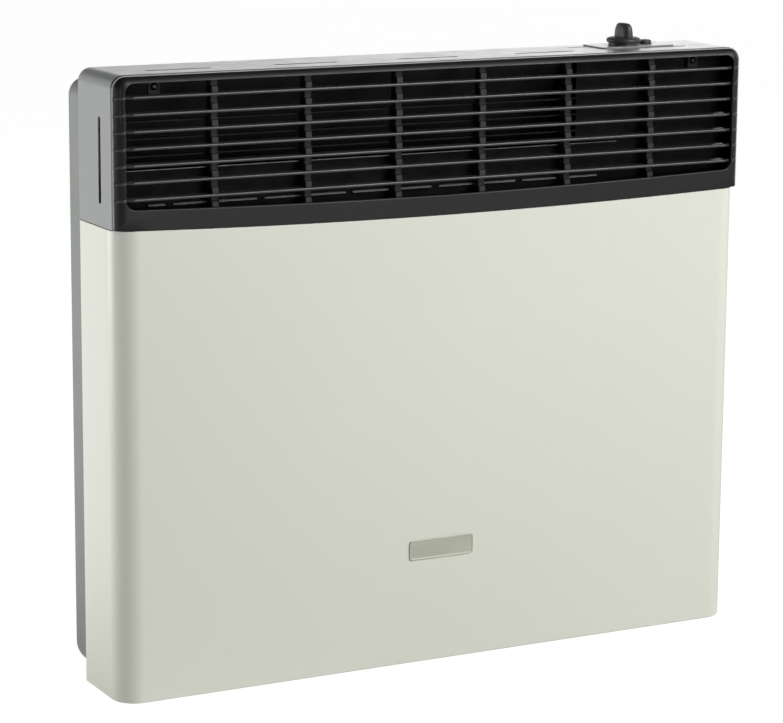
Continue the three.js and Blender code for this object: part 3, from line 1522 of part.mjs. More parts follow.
function addControls() {
  const knobPlace = [KNOB_X, KNOB_Y, 0];
  piece('control_knob', controlKnob(), KNOB_GREY, knobPlace);
  piece('knob_spindle', knobSpindle(), STEEL, knobPlace);
  piece('valve_plunger', valvePlunger(), BRASS, knobPlace);
  piece('plunger_spring', plungerSpring(), SPRING_STEEL, knobPlace);
  piece('gas_valve_body', gasValveBody(), CAST_ALUMINIUM);
  piece('gas_valve_bonnet', gasValveBonnet(), BLACK_PLASTIC);
  piece('valve_bracket', valveBracket(), GALVANISED);
  const igniterPlace = [IGNITER_X, IGNITER_Y, 0];
  piece('igniter_body', igniterBody(), BLACK_PLASTIC, igniterPlace);
  piece('igniter_button', igniterButton(), KNOB_GREY, igniterPlace);
  piece('igniter_spring', igniterSpring(), SPRING_STEEL, igniterPlace);
  piece('igniter_nut', igniterNut(), BLACK_PLASTIC, igniterPlace);
}

function addExchanger() {
  piece('exchanger_body', exchangerBody(), STOVE_BLACK);
  piece('exchanger_cap_left', exchangerCap(-1), STOVE_BLACK);
  piece('exchanger_cap_right', exchangerCapRight(), STOVE_BLACK);
  piece('exchanger_baffle', exchangerBaffle(), STOVE_BLACK);
  for (const [name, side] of [['left', -1], ['right', 1]]) {
    const place = [EXCHANGER_X + side * BRACKET_OFFSET, 0, 0];
    piece(`exchanger_bracket_${name}`, exchangerBracket(), GALVANISED, place);
  }
  piece('exhaust_spigot', ductSpigot(EXHAUST_HEIGHT), GALVANISED);
  piece('intake_spigot', ductSpigot(INTAKE_HEIGHT), GALVANISED);
  piece('exhaust_gasket', ductGasket(EXHAUST_HEIGHT), FIBRE);
  piece('intake_gasket', ductGasket(INTAKE_HEIGHT), FIBRE);
  piece('heat_shield', heatShield(), GALVANISED);
  for (const [name, side] of [['left', -1], ['right', 1]]) {
    const place = [EXCHANGER_X + side * SPACER_OFFSET, 0, SPACER_HEIGHT];
    piece(`shield_spacer_${name}`, shieldSpacer(), GALVANISED, place);
  }
  const [glassX, glassZ] = sightGlassCentre();
  piece('sight_glass', sightGlass(), GLASS, [glassX, 0, glassZ]);
  piece('sight_glass_ring', sightGlassRing(), STEEL, [glassX, 0, glassZ]);
}

function addBurner() {
  const plateX = endPlateX();
  piece('burner_gasket', portCover(plateX, plateX + GASKET), FIBRE);
  piece('burner_end_plate', portCover(plateX + GASKET, plateX + 2 * GASKET), GALVANISED);
  piece('burner_tube', burnerTube(), STEEL);
  piece('injector', injector(), BRASS);
  piece('pilot_burner', pilotBurner(), BRASS);
  piece('electrode_insulator', electrodeInsulator(), CERAMIC);
  piece('spark_electrode', sparkElectrode(), STEEL);
  piece('thermocouple', thermocouple(), COPPER);
}

function addPipes() {
  piece('supply_pipe', supplyPipe(), COPPER);
  piece('inlet_union', inletUnion(), BRASS);
  piece('supply_nut', valveNut(supplyX(), SUPPLY_RADIUS), BRASS);
  piece('manifold_nut', valveNut(manifoldX(), MANIFOLD_RADIUS), BRASS);
  piece('manifold_pipe', manifoldPipe(), COPPER);
  piece('pilot_tube', pilotTube(), COPPER);
  piece('ignition_wire', ignitionWire(), RED_RUBBER);
  piece('thermostat_bulb', thermostatBulb(), COPPER);
  piece('bulb_clip', bulbClip(), GALVANISED);
  piece('pipe_bracket', pipeBracket(), GALVANISED);
}

function addScrews() {
  const lugFront = FRONT_Y + DEFLECTOR_SETBACK - CLEARANCE - GRILLE_WALL - CLEARANCE;
  for (const [name, side] of [['left', -1], ['right', 1]]) {
    const place = [(side * LUG_SPACING) / 2, lugFront, lugHole()];
    piece(`grille_screw_${name}`, panScrew(3.5, 2, 1.5, 6), STEEL, place);
  }
}

addShells();
addControls();
addExchanger();
addBurner();
addPipes();
addScrews();

export default group;
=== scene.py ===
import json
import math

import bmesh
import bpy
import numpy as np
from bpy.props import FloatProperty, FloatVectorProperty, IntProperty, PointerProperty
from mathutils import Matrix, Vector


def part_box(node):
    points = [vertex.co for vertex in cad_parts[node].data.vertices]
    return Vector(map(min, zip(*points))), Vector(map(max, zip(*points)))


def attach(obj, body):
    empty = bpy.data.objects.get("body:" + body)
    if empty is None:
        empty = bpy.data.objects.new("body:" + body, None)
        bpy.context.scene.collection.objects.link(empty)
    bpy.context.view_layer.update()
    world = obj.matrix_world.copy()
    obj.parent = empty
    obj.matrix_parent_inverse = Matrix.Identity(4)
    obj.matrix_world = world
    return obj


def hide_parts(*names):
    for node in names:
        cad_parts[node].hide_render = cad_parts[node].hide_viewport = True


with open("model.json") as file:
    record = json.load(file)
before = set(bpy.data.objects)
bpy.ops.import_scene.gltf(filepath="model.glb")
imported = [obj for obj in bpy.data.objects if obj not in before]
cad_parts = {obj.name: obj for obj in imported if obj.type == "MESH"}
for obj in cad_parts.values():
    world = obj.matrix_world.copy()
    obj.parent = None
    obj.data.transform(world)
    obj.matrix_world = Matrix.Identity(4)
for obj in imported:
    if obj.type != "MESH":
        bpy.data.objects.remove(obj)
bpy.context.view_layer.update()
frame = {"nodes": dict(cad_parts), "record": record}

bl_info = {
    "name": "Wall Gas Heater",
    "version": (1, 0, 0),
    "blender": (4, 5, 0),
    "location": "3D View > Sidebar > Heater",
    "description": "Dresses the heater's solids with sheet metal, moulded parts and finishes",
    "category": "Object",
}


def corners(node):
    """The lowest and highest corner of a solid, as arrays."""
    low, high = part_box(node)
    return np.array(low), np.array(high)


def middle_of(node):
    """The middle of a solid's box."""
    low, high = corners(node)
    return (low + high) / 2


def round_box(node, axis):
    """The centre, radius, start and end of a round solid that lies along an axis."""
    low, high = corners(node)
    along = "xyz".index(axis)
    across = [k for k in range(3) if k != along]
    radius = (high[across[0]] - low[across[0]]) / 2
    return ((low + high) / 2)[across], radius, low[along], high[along]


HEATER, KNOB, BUTTON = "heater", "knob", "igniter_push_button"

# Planes of the object, read from its solids, in metres.
CASING_LOW, CASING_HIGH = corners("front_casing")
HOOD_LOW, HOOD_HIGH = corners("top_hood")
PAN_LOW, PAN_HIGH = corners("rear_pan")
BASE = CASING_LOW[2]
FRONT = CASING_LOW[1]
CASING_REAR = CASING_HIGH[1]
HALF = CASING_HIGH[0]
TOP = HOOD_HIGH[2]
SEAM = CASING_HIGH[2]
HOOD_FOOT = HOOD_LOW[2]

# Measures that several pieces share, in metres.
CLEARANCE = 0.0003
GRILLE_REAR = FRONT + 0.0227
CASING_EDGE = 0.0016
SPINDLE_HOLE = 0.0036
PAN_CORNER_LOW, PAN_CORNER_HIGH = 0.026, 0.017


# ---------------------------------------------------------------- sizes and colours

def length(name, description, default):
    """A distance that a user may set."""
    return FloatProperty(
        name=name, description=description, default=default, min=0.0, unit="LENGTH",
        subtype="DISTANCE",
    )


def colour(name, description, default):
    """A colour that a user may set."""
    return FloatVectorProperty(
        name=name, description=description, default=default, size=3, min=0.0, max=1.0,
        subtype="COLOR",
    )


class HeaterSizes(bpy.types.PropertyGroup):
    sheet: length("Sheet", "Thickness of the casing's and the hood's steel", 0.0012)
    casing_bend: length("Casing bend", "Outer radius of the casing's upright bends", 0.024)
    casing_lip: length("Casing lip", "Depth of the casing's return lips", 0.012)
    seam_sag: length("Seam sag", "How far the seam dips in the middle", 0.0058)
    seam_gap: length("Seam gap", "Gap between casing and hood", 0.0008)
    hood_corner: length("Hood corner", "Radius between the hood's top and sides", 0.013)
    front_bend: length("Front bend", "Radius round the hood's front edge", 0.012)
    hood_wrap: FloatProperty(
        name="Hood wrap", description="How far the hood's sheet turns round the front bend",
        default=math.radians(6), min=0.0, unit="ROTATION", subtype="ANGLE",
    )
    rear_round: length("Rear round", "Radius of the hood's rear edge", 0.0015)
    slot_pitch: length("Slot pitch", "Spacing of the hood's top slots", 0.1325)
    slot_length: length("Slot length", "Length of a top slot", 0.068)
    slot_width: length("Slot width", "Width of all slots", 0.006)
    slot_setback: length("Slot setback", "From the front plane to the slots' middle", 0.038)
    bar_pitch: length("Bar pitch", "Spacing of the louvre bars", 0.0158)
    bar_nose: length("Bar nose", "Height of a bar's front edge", 0.0031)
    blade_depth: length("Blade depth", "Depth of a bar from front to rear", 0.018)
    blade_sheet: length("Blade sheet", "Thickness of a bar's blade", 0.0016)
    rib_pitch: length("Rib pitch", "Spacing of the upright ribs", 0.0974)
    rib_width: length("Rib width", "Width of an upright rib", 0.0075)
    side_rail: length("Side rail", "Width of the grille's side rails", 0.0105)
    top_rail: length("Top rail", "Height of the grille's top rail", 0.007)
    bottom_rail: length("Bottom rail", "Height of the grille's bottom rail", 0.0187)
    window_corner: length("Window corner", "Radius in the corners of the grille's window", 0.009)
    pan_sheet: length("Pan sheet", "Thickness of the wall pan", 0.0015)
    pan_edge: length("Pan edge", "Radius between the pan's floor and its sides", 0.005)
    bar_count: IntProperty(name="Bars", description="Number of louvre bars", default=7, min=1)
    rib_count: IntProperty(name="Ribs", description="Number of upright ribs", default=6, min=1)


class HeaterFinishes(bpy.types.PropertyGroup):
    cream: colour("Cream", "Enamel of the front casing", (0.835, 0.858, 0.748))
    hood: colour("Hood", "Enamel of the top hood", (0.235, 0.25, 0.242))
    pan: colour("Pan", "Enamel of the wall pan", (0.22, 0.24, 0.215))
    # Frame, bars and ribs are one black moulding: the frame's black is darker as painted shade, the
    # bars' and ribs' lighter as painted light.
    grille: colour("Grille", "Moulded black of the grille", (0.007, 0.0078, 0.0074))
    bars: colour("Bars", "Worn black of the louvre bars", (0.042, 0.043, 0.042))
    ribs: colour("Ribs", "Grey of the grille's ribs", (0.024, 0.024, 0.023))
    # The inner sheets' black is darkened beyond the paint as painted shade behind the bars.
    interior: colour("Interior", "Heat-proof black of the inner sheets", (0.004, 0.004, 0.004))
    # The vanes' black is made lighter than the inner sheets' as painted light that brings out the
    # vanes, the guide and the lugs.
    vanes: colour("Vanes", "Dusty black of the vanes and the air guide", (0.033, 0.033, 0.032))
    badge: colour("Badge", "Satin metal of the badge plate", (0.55, 0.565, 0.465))
    knob: colour("Knob", "Moulded grey of the knob and the button", (0.045, 0.046, 0.048))


def sizes():
    return bpy.context.scene.heater_sizes


def finishes():
    return bpy.context.scene.heater_finishes


# ---------------------------------------------------------------- outlines

def angles(start, end, count):
    """Even angles between two that are given in degrees."""
    return np.radians(np.linspace(start, end, count))


def turn(centre, radius, start, end, count):
    """Points round a centre between two angles in degrees."""
    angle = angles(start, end, count)
    return np.stack([centre[0] + radius * np.cos(angle), centre[1] + radius * np.sin(angle)], -1)


def run(start, end, count):
    """Points on a straight line, both ends included."""
    share = np.linspace(0.0, 1.0, count)[:, None]
    return (1 - share) * np.array(start) + share * np.array(end)


def rounded(left, right, bottom, top, low_radius, high_radius, steps):
    """A closed rectangle with round corners: four arcs joined by lines, anticlockwise."""
    return np.vstack([
        turn((left + low_radius, bottom + low_radius), low_radius, 180, 270, steps),
        turn((right - low_radius, bottom + low_radius), low_radius, 270, 360, steps),
        turn((right - high_radius, top - high_radius), high_radius, 0, 90, steps),
        turn((left + high_radius, top - high_radius), high_radius, 90, 180, steps),
    ])


def arch(half, foot, top, radius, steps=12):
    """An open path up the left side, over two round corners and down the right side."""
    return np.vstack([
        run((-half, foot), (-half, top - radius), 4)[:-1],
        turn((-half + radius, top - radius), radius, 180, 90, steps),
        run((-half + radius, top), (half - radius, top), 6)[1:-1],
        turn((half - radius, top - radius), radius, 90, 0, steps),
        run((half, top - radius), (half, foot), 4)[1:],
    ])


def seam_height(x, flat):
    """The curved seam: a parabola that dips by the sag between the bends, level outside them."""
    share = np.clip(np.abs(x) / flat, 0.0, 1.0)
    return SEAM - sizes().seam_sag * (1.0 - share ** 2)


def bend_plane(x, z):
    """Depth of the front skin: the front plane, bent back on a circle near the sides and the top.

    The inset of a point is its distance inside the hood's round-cornered outline. Where the
    inset is less than the bend's radius, the skin lies on the circle of that radius.
    """
    corner, bend = sizes().hood_corner, sizes().front_bend
    beside = np.abs(x) - (HALF - corner)
    above = z - (TOP - corner)
    outside = np.hypot(np.maximum(beside, 0.0), np.maximum(above, 0.0))
    inset = corner - outside - np.minimum(np.maximum(beside, above), 0.0)
    short = bend - np.clip(inset, 0.0, bend)
    return FRONT + bend - np.sqrt(np.maximum(bend ** 2 - short ** 2, 0.0))


# ---------------------------------------------------------------- surfaces

def skin(rings, around=True, along=False, caps=""):
    """A grid of quads over rings of points.

    around joins each ring's ends, along joins the last ring to the first, and caps closes the
    open rings ("rings") or the open sides ("sides").
    """
    rings = np.asarray(rings, float)
    index = np.arange(rings.shape[0] * rings.shape[1]).reshape(rings.shape[:2])
    grid = np.vstack([index, index[:1]]) if along else index
    grid = np.hstack([grid, grid[:, :1]]) if around else grid
    quads = np.stack([grid[:-1, :-1], grid[:-1, 1:], grid[1:, 1:], grid[1:, :-1]], -1)
    faces = quads.reshape(-1, 4).tolist()
    if caps == "rings":
        faces += [index[0].tolist()[::-1], index[-1].tolist()]
    if caps == "sides":
        faces += [index[:, 0].tolist(), index[:, -1].tolist()[::-1]]
    return rings.reshape(-1, 3), faces


def block(x, y, z):
    """A closed block between two corners, each axis given as (low, high)."""
    ring = np.array([[x[0], y[0]], [x[1], y[0]], [x[1], y[1]], [x[0], y[1]]])
    return prism(ring, "z", *z)


def place(points, axis, level):
    """Plane points set at a level along an axis; the two other axes keep their X, Y, Z order."""
    level = np.broadcast_to(np.asarray(level, float), points.shape[:1])
    order = {"x": (2, 0, 1), "y": (0, 2, 1), "z": (0, 1, 2)}[axis]
    columns = [points[:, 0], points[:, 1], level]
    return np.stack([columns[k] for k in order], -1)


def prism(outline, axis, start, end):
    """A closed outline carried straight along an axis, closed at both ends."""
    return skin([place(outline, axis, start), place(outline, axis, end)], caps="rings")


def plate(outline_of, axis, levels):
    """A closed solid through outlines: outline_of(inset) at each level (inset, height)."""
    rings = [place(outline_of(inset), axis, height) for inset, height in levels]
    return skin(rings, caps="rings")


def revolved(profile, axis, centre, steps):
    """Rings round an axis: radius r at height h becomes (r cos a, r sin a, h)."""
    angle = np.linspace(0.0, 2 * math.pi, steps, endpoint=False)
    circle = np.stack([np.cos(angle), np.sin(angle)], -1)
    return [place(np.array(centre) + radius * circle, axis, height) for radius, height in profile]


def turned(profile, axis, centre, steps=48):
    """A solid of revolution through an open profile of (radius, height), closed at both ends."""
    return skin(revolved(profile, axis, centre, steps), caps="rings")


def hollow_turned(profile, axis, centre, steps=64):
    """A tube of revolution: a closed profile of (radius, height) carried round the axis."""
    return skin(revolved(profile, axis, centre, steps), along=True)


def drill(radius, span, axis, centre, steps):
    """A plain round cutter between two heights."""
    return turned([(radius, height) for height in span], axis, centre, steps)


def eased(points, bend, steps):
    """A path of straight runs, its corners rounded by quadratic curves that start a bend away."""
    points = np.asarray(points, float)
    before = points[1:-1] - points[:-2]
    after = points[2:] - points[1:-1]
    entry = points[1:-1] - bend * before / np.linalg.norm(before, axis=1)[:, None]
    leave = points[1:-1] + bend * after / np.linalg.norm(after, axis=1)[:, None]
    t = np.linspace(0.0, 1.0, steps)[None, :, None]
    curve = (1 - t) ** 2 * entry[:, None] + 2 * t * (1 - t) * points[1:-1, None]
    curve = curve + t ** 2 * leave[:, None]
    return np.vstack([points[:1], curve.reshape(-1, 3), points[-1:]])


NEVER_FOLLOWED = np.array([0.31, 0.87, 0.38])


def tube(path, radius, sides):
    """A round section carried along a path.

    Each ring stands square to the path: its two axes come from the path's tangent and from one
    fixed direction that the path never follows.
    """
    path = np.asarray(path, float)
    tangent = np.gradient(path, axis=0)
    tangent /= np.linalg.norm(tangent, axis=1)[:, None]
    aside = np.cross(tangent, NEVER_FOLLOWED)
    aside /= np.linalg.norm(aside, axis=1)[:, None]
    lift = np.cross(tangent, aside)
    angle = np.linspace(0.0, 2 * math.pi, sides, endpoint=False)[None, :, None]
    radius = np.broadcast_to(np.asarray(radius, float), path.shape[:1])[:, None, None]
    circle = np.cos(angle) * aside[:, None] + np.sin(angle) * lift[:, None]
    return skin(path[:, None] + radius * circle, caps="rings")


def pipe(points, bend, radius, steps=10, sides=12):
    """A round pipe along straight runs with rounded corners."""
    return tube(eased(points, bend, steps), radius, sides)


def bent_sheet(line, thickness):
    """The closed outline of a bent sheet: a line of points and the same line moved to its left.

    Each point moves along the mean of its two normals, by the thickness over that mean's share.
    """
    line = np.asarray(line, float)
    step = np.diff(line, axis=0)
    step /= np.linalg.norm(step, axis=1)[:, None]
    normal = np.stack([-step[:, 1], step[:, 0]], -1)
    before = np.vstack([normal[:1], normal])
    after = np.vstack([normal, normal[-1:]])
    mean = before + after
    mean /= np.linalg.norm(mean, axis=1)[:, None]
    reach = thickness / np.sum(mean * before, axis=1)
    return np.vstack([line, (line + mean * reach[:, None])[::-1]])


def joined(*parts):
    """Several skins as one: faces of later parts are counted on from the earlier points."""
    points, faces, base = [], [], 0
    for part_points, part_faces in parts:
        points.append(part_points)
        faces += [[index + base for index in face] for face in part_faces]
        base += len(part_points)
    return np.vstack(points), faces

# ---------------------------------------------------------------- pieces

def raw_object(name, part):
    """A new object at the origin that holds a part's mesh, with its faces turned outwards."""
    points, faces = part
    mesh = bpy.data.meshes.new(name)
    mesh.from_pydata(points.tolist(), [], faces)
    form = bmesh.new()
    form.from_mesh(mesh)
    bmesh.ops.recalc_face_normals(form, faces=form.faces)
    form.to_mesh(mesh)
    form.free()
    obj = bpy.data.objects.new(name, mesh)
    bpy.context.scene.collection.objects.link(obj)
    return obj


def cut_through(obj, cutters):
    """Takes the cutters' shapes out of a piece's mesh."""
    knife = raw_object("knife", joined(*cutters))
    cutter = obj.modifiers.new("holes", "BOOLEAN")
    cutter.operation = "DIFFERENCE"
    cutter.solver = "EXACT"
    cutter.use_self = True
    cutter.object = knife
    bpy.context.view_layer.update()
    evaluated = obj.evaluated_get(bpy.context.evaluated_depsgraph_get())
    cut_mesh = bpy.data.meshes.new_from_object(evaluated)
    obj.modifiers.clear()
    old = obj.data
    obj.data = cut_mesh
    cut_mesh.name = obj.name
    bpy.data.meshes.remove(old)
    bpy.data.meshes.remove(knife.data)


def piece(name, part, look, slot, *replaced, body=HEATER, cutters=(), sharp=50):
    """A finished piece: its mesh, holes, smooth shading, finish and body; the slot is not used.

    Edges sharper than the angle, in degrees, stay sharp.
    """
    obj = raw_object(name, part)
    if cutters:
        cut_through(obj, cutters)
    obj.data.materials.clear()
    obj.data.materials.append(finish(look))
    obj.data.shade_smooth()
    obj.data.set_sharp_from_angle(angle=math.radians(sharp))
    weighted = obj.modifiers.new("normals", "WEIGHTED_NORMAL")
    weighted.keep_sharp = True
    weighted.weight = 80
    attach(obj, body)
    if replaced:
        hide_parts(*replaced)


# ---------------------------------------------------------------- finishes

NOISE_SPAN = (0.3, 0.7)


class Nodes:
    """The node tree of a material or a world, built up from nothing."""

    def __init__(self, owner):
        owner.use_nodes = True
        self.tree = owner.node_tree
        self.tree.nodes.clear()

    def add(self, kind, **values):
        """A new node, with the values of its named inputs."""
        node = self.tree.nodes.new(kind)
        for label, value in values.items():
            node.inputs[label.replace("_", " ")].default_value = value
        return node

    def link(self, output, target):
        self.tree.links.new(output, target)

    def span(self, value, bounds, levels, shape="LINEAR"):
        """A value between two bounds brought to between two levels."""
        node = self.add("ShaderNodeMapRange", From_Min=bounds[0], From_Max=bounds[1],
                        To_Min=levels[0], To_Max=levels[1])
        node.interpolation_type = shape
        self.link(value, node.inputs["Value"])
        return node.outputs["Result"]


class Surface(Nodes):
    """A node material on Object coordinates, built up from noise fields."""

    def __init__(self, name):
        self.material = bpy.data.materials.new(name)
        super().__init__(self.material)
        self.shader = self.add("ShaderNodeBsdfPrincipled")
        output = self.add("ShaderNodeOutputMaterial")
        self.link(self.shader.outputs["BSDF"], output.inputs["Surface"])
        self.place = self.add("ShaderNodeTexCoord").outputs["Object"]

    def noise(self, scale, detail, stretch=(1.0, 1.0, 1.0)):
        """A noise field; scale counts its features per metre."""
        mapping = self.add("ShaderNodeMapping", Scale=stretch)
        self.link(self.place, mapping.inputs["Vector"])
        field = self.add("ShaderNodeTexNoise", Scale=scale, Detail=detail)
        self.link(mapping.outputs["Vector"], field.inputs["Vector"])
        return field.outputs["Fac"]

    def spangle(self, scale):
        """Crystal cells, as in a zinc coat."""
        field = self.add("ShaderNodeTexVoronoi", Scale=scale)
        self.link(self.place, field.inputs["Vector"])
        tone = self.add("ShaderNodeSeparateColor")
        self.link(field.outputs["Color"], tone.inputs["Color"])
        return tone.outputs["Red"]

    def colours(self, field, dark, light, bounds=NOISE_SPAN):
        """The base colour, from dark to light as the field goes from one bound to the other."""
        ramp = self.add("ShaderNodeValToRGB")
        for stop, position, tone in zip(ramp.color_ramp.elements, bounds, (dark, light)):
            stop.position = position
            stop.color = (*tone, 1.0)
        self.link(field, ramp.inputs["Fac"])
        self.link(ramp.outputs["Color"], self.shader.inputs["Base Color"])

    def roughness(self, field, *levels):
        """Roughness between two levels along a field."""
        self.link(self.span(field, NOISE_SPAN, levels), self.shader.inputs["Roughness"])

    def relief(self, field, distance, strength):
        """A fine relief whose height follows a field."""
        bump = self.add("ShaderNodeBump", Distance=distance, Strength=strength)
        self.link(field, bump.inputs["Height"])
        self.link(bump.outputs["Normal"], self.shader.inputs["Normal"])

    def fixed(self, values):
        """Values that are the same all over, on the shader's own sockets."""
        for label, value in values.items():
            self.shader.inputs[label.replace("_", " ")].default_value = value


def tint(base, factor):
    """A colour made darker or lighter."""
    return tuple(min(1.0, channel * factor) for channel in base)


def worked_metal(base, rough, stretch):
    """The row of a drawn, turned or rolled metal: fine streaks one way and a slight tarnish."""
    return dict(
        base=base, tone=((45, 4), 0.78, 1.08),
        rough=((900, 3, stretch), rough - 0.06, rough + 0.08),
        relief=((900, 2, stretch), 0.00002, 0.4), Metallic=1.0,
    )


# The rows of the finishes. A field is (features per metre, detail, stretch), or "cells" and their
# number per metre. A tone is a field with a dark and a light colour, or with two factors on the
# base, which is a colour or the name of one that a user may set. Rough is a field with two
# levels, and relief a field with its depth in metres and its strength. The rest are the shader's.
ALONG_X = (0.02, 1, 1)
FINISHES = {
    # Baked enamels: faint drifts of tone, an orange-peel skin and a soft gloss.
    "cream_enamel": dict(
        base="cream", tone=((2.2, 2), 0.985, 1.015), rough=((35, 4), 0.29, 0.35),
        relief=((520, 2), 0.00003, 0.35),
        Specular_IOR_Level=0.5, Coat_Weight=0.15, Coat_Roughness=0.2),
    "hood_enamel": dict(
        base="hood", tone=((3, 2), 0.96, 1.04), rough=((45, 4), 0.28, 0.36),
        relief=((700, 2), 0.00003, 0.35),
        Specular_IOR_Level=0.6, Coat_Weight=0.2, Coat_Roughness=0.18),
    "pan_enamel": dict(
        base="pan", tone=((4, 3), 0.94, 1.05), rough=((40, 4), 0.38, 0.48),
        relief=((600, 2), 0.00004, 0.4), Specular_IOR_Level=0.45),
    # Rough stove enamel on the exchanger, a little brown where it gets hot.
    "stove_enamel": dict(
        tone=((9, 5), (0.018, 0.017, 0.016), (0.045, 0.038, 0.033)), rough=((50, 4), 0.55, 0.75),
        relief=((800, 3), 0.00008, 0.5)),
    # Moulded plastics of the grille, one black in three copies: the frame's darkened as painted
    # shade, the glossier bars' and the duller ribs' lightened as painted light on their lit tops
    # and fronts.
    "moulded_black": dict(
        base="grille", tone=((14, 3), 0.85, 1.2), rough=((60, 4), 0.42, 0.50),
        relief=((1500, 2), 0.00002, 0.2), Specular_IOR_Level=0.42),
    "bar_black": dict(
        base="bars", tone=((14, 3), 0.85, 1.2), rough=((60, 4), 0.28, 0.34),
        relief=((1500, 2), 0.00002, 0.12), Specular_IOR_Level=0.55),
    "rib_grey": dict(
        base="ribs", tone=((40, 3), 0.85, 1.15), rough=((80, 4), 0.44, 0.52),
        relief=((1500, 2), 0.00004, 0.3), Specular_IOR_Level=0.35),
    # Moulded plastics of the knob and the button, and of the inner fittings.
    "moulded_grey": dict(
        base="knob", tone=((90, 3), 0.85, 1.2), rough=((120, 4), 0.38, 0.48),
        relief=((1800, 2), 0.00004, 0.5)),
    "black_mould": dict(
        tone=((90, 3), (0.012, 0.012, 0.013), (0.026, 0.026, 0.027)), rough=((150, 4), 0.4, 0.52),
        relief=((1600, 2), 0.00004, 0.5)),
    # Heat-proof black on inner sheets, bare and made darker than the paint as painted shade behind
    # the bars; a lighter black on the vanes, the guide and the lugs is painted light that lets
    # their edges show.
    "heat_black": dict(
        base="interior", tone=((18, 4), 0.7, 1.5), rough=((70, 4), 0.5, 0.65),
        relief=((900, 2), 0.00004, 0.4), Specular_IOR_Level=0.2),
    # Lighter black: painted light on the vanes, the guide and the lugs.
    "dusty_black": dict(
        base="vanes", tone=((18, 4), 0.8, 1.3), rough=((70, 4), 0.5, 0.65),
        relief=((900, 2), 0.00004, 0.4), Specular_IOR_Level=0.3),
    # Satin metal of the badge, brushed along its length.
    "satin_badge": dict(
        base="badge", tone=((900, 3, ALONG_X), 0.9, 1.08), rough=((700, 3, ALONG_X), 0.36, 0.46),
        relief=((1600, 2, ALONG_X), 0.00002, 0.4), Metallic=0.1),
    # The cut edge of a black sheet, the pressed lips and the trim line round the grille, all made
    # light as painted highlights: a bare cut edge, near-white lips and a pale trim bead stand in
    # for the bright lines they show.
    "bare_edge": dict(
        tone=((160, 4), (0.16, 0.16, 0.155), (0.28, 0.28, 0.27)), rough=((220, 3), 0.3, 0.45),
        Metallic=0.7),
    # Near-white lips: a painted highlight in place of the light the pressed lips catch.
    "rubbed_edge": dict(
        tone=((160, 4), (0.70, 0.70, 0.67), (0.88, 0.88, 0.85)), rough=((220, 3), 0.3, 0.42)),
    # Pale trim bead whose grey is a painted highlight along the grille's edge.
    "rim_metal": dict(
        tone=((45, 4), (0.35, 0.355, 0.34), (0.41, 0.415, 0.40)), rough=((500, 3), 0.36, 0.44)),
    # Galvanised sheet: crystal cells that differ in tone and gloss.
    "zinc_coat": dict(
        tone=(("cells", 140), (0.42, 0.44, 0.45), (0.60, 0.62, 0.63), (0.1, 0.9)),
        rough=(("cells", 140), 0.34, 0.5), relief=((400, 3), 0.00003, 0.3), Metallic=0.9),
    # Rolled and oil-blackened steel, spring wire, turned brass and drawn copper.
    "bright_steel": worked_metal((0.56, 0.57, 0.58), 0.3, (1, 1, 0.1)),
    "blackened_steel": worked_metal((0.06, 0.06, 0.062), 0.26, (1, 1, 1)),
    "spring_wire": worked_metal((0.36, 0.37, 0.38), 0.28, (1, 1, 1)),
    "turned_brass": worked_metal((0.62, 0.45, 0.19), 0.3, (1, 1, 0.15)),
    "drawn_copper": worked_metal((0.60, 0.29, 0.17), 0.32, (1, 1, 0.15)),
    # Cast aluminium with a sandy skin.
    "cast_metal": dict(
        tone=((60, 4), (0.42, 0.43, 0.44), (0.56, 0.57, 0.58)), rough=((90, 4), 0.48, 0.62),
        relief=((1300, 4), 0.0001, 0.6), Metallic=0.85),
    # Pale ceramic-fibre gasket with loose strands.
    "fibre_sheet": dict(
        tone=((700, 5, (1, 1, 0.2)), (0.55, 0.52, 0.45), (0.74, 0.71, 0.63)),
        rough=((200, 3), 0.88, 0.97), relief=((900, 4, (1, 1, 0.25)), 0.0002, 0.7)),
    # White glazed ceramic, and clear heat-proof glass with a faint haze.
    "glazed_ceramic": dict(
        tone=((80, 3), (0.76, 0.74, 0.69), (0.83, 0.81, 0.76)), rough=((150, 3), 0.15, 0.25),
        Coat_Weight=0.6, Coat_Roughness=0.08),
    "heat_glass": dict(
        tone=((60, 3), (0.82, 0.86, 0.85), (0.9, 0.93, 0.92)), rough=((120, 4), 0.03, 0.09),
        Transmission_Weight=0.85, IOR=1.48),
    # Silicone rubber of the ignition lead.
    "red_silicone": dict(
        tone=((120, 3), (0.26, 0.035, 0.03), (0.34, 0.05, 0.042)), rough=((200, 3), 0.48, 0.6),
        relief=((1200, 2), 0.00005, 0.4)),
}


def finish(name):
    """Makes a finish once, from its row of the table, and gives the same material afterwards."""
    label = "heater_" + name
    if label in bpy.data.materials:
        return bpy.data.materials[label]
    row = dict(FINISHES[name])
    surface = Surface(label)
    fields = {}

    def field(spec):
        if spec not in fields:
            fields[spec] = surface.spangle(spec[1]) if spec[0] == "cells" else surface.noise(*spec)
        return fields[spec]

    base = row.pop("base", None)
    spec, *tones = row.pop("tone")
    if base:
        base = getattr(finishes(), base) if isinstance(base, str) else base
        tones = [tint(base, factor) for factor in tones]
    surface.colours(field(spec), *tones)
    spec, *values = row.pop("rough")
    surface.roughness(field(spec), *values)
    if "relief" in row:
        spec, *values = row.pop("relief")
        surface.relief(field(spec), *values)
    surface.fixed(row)
    return surface.material


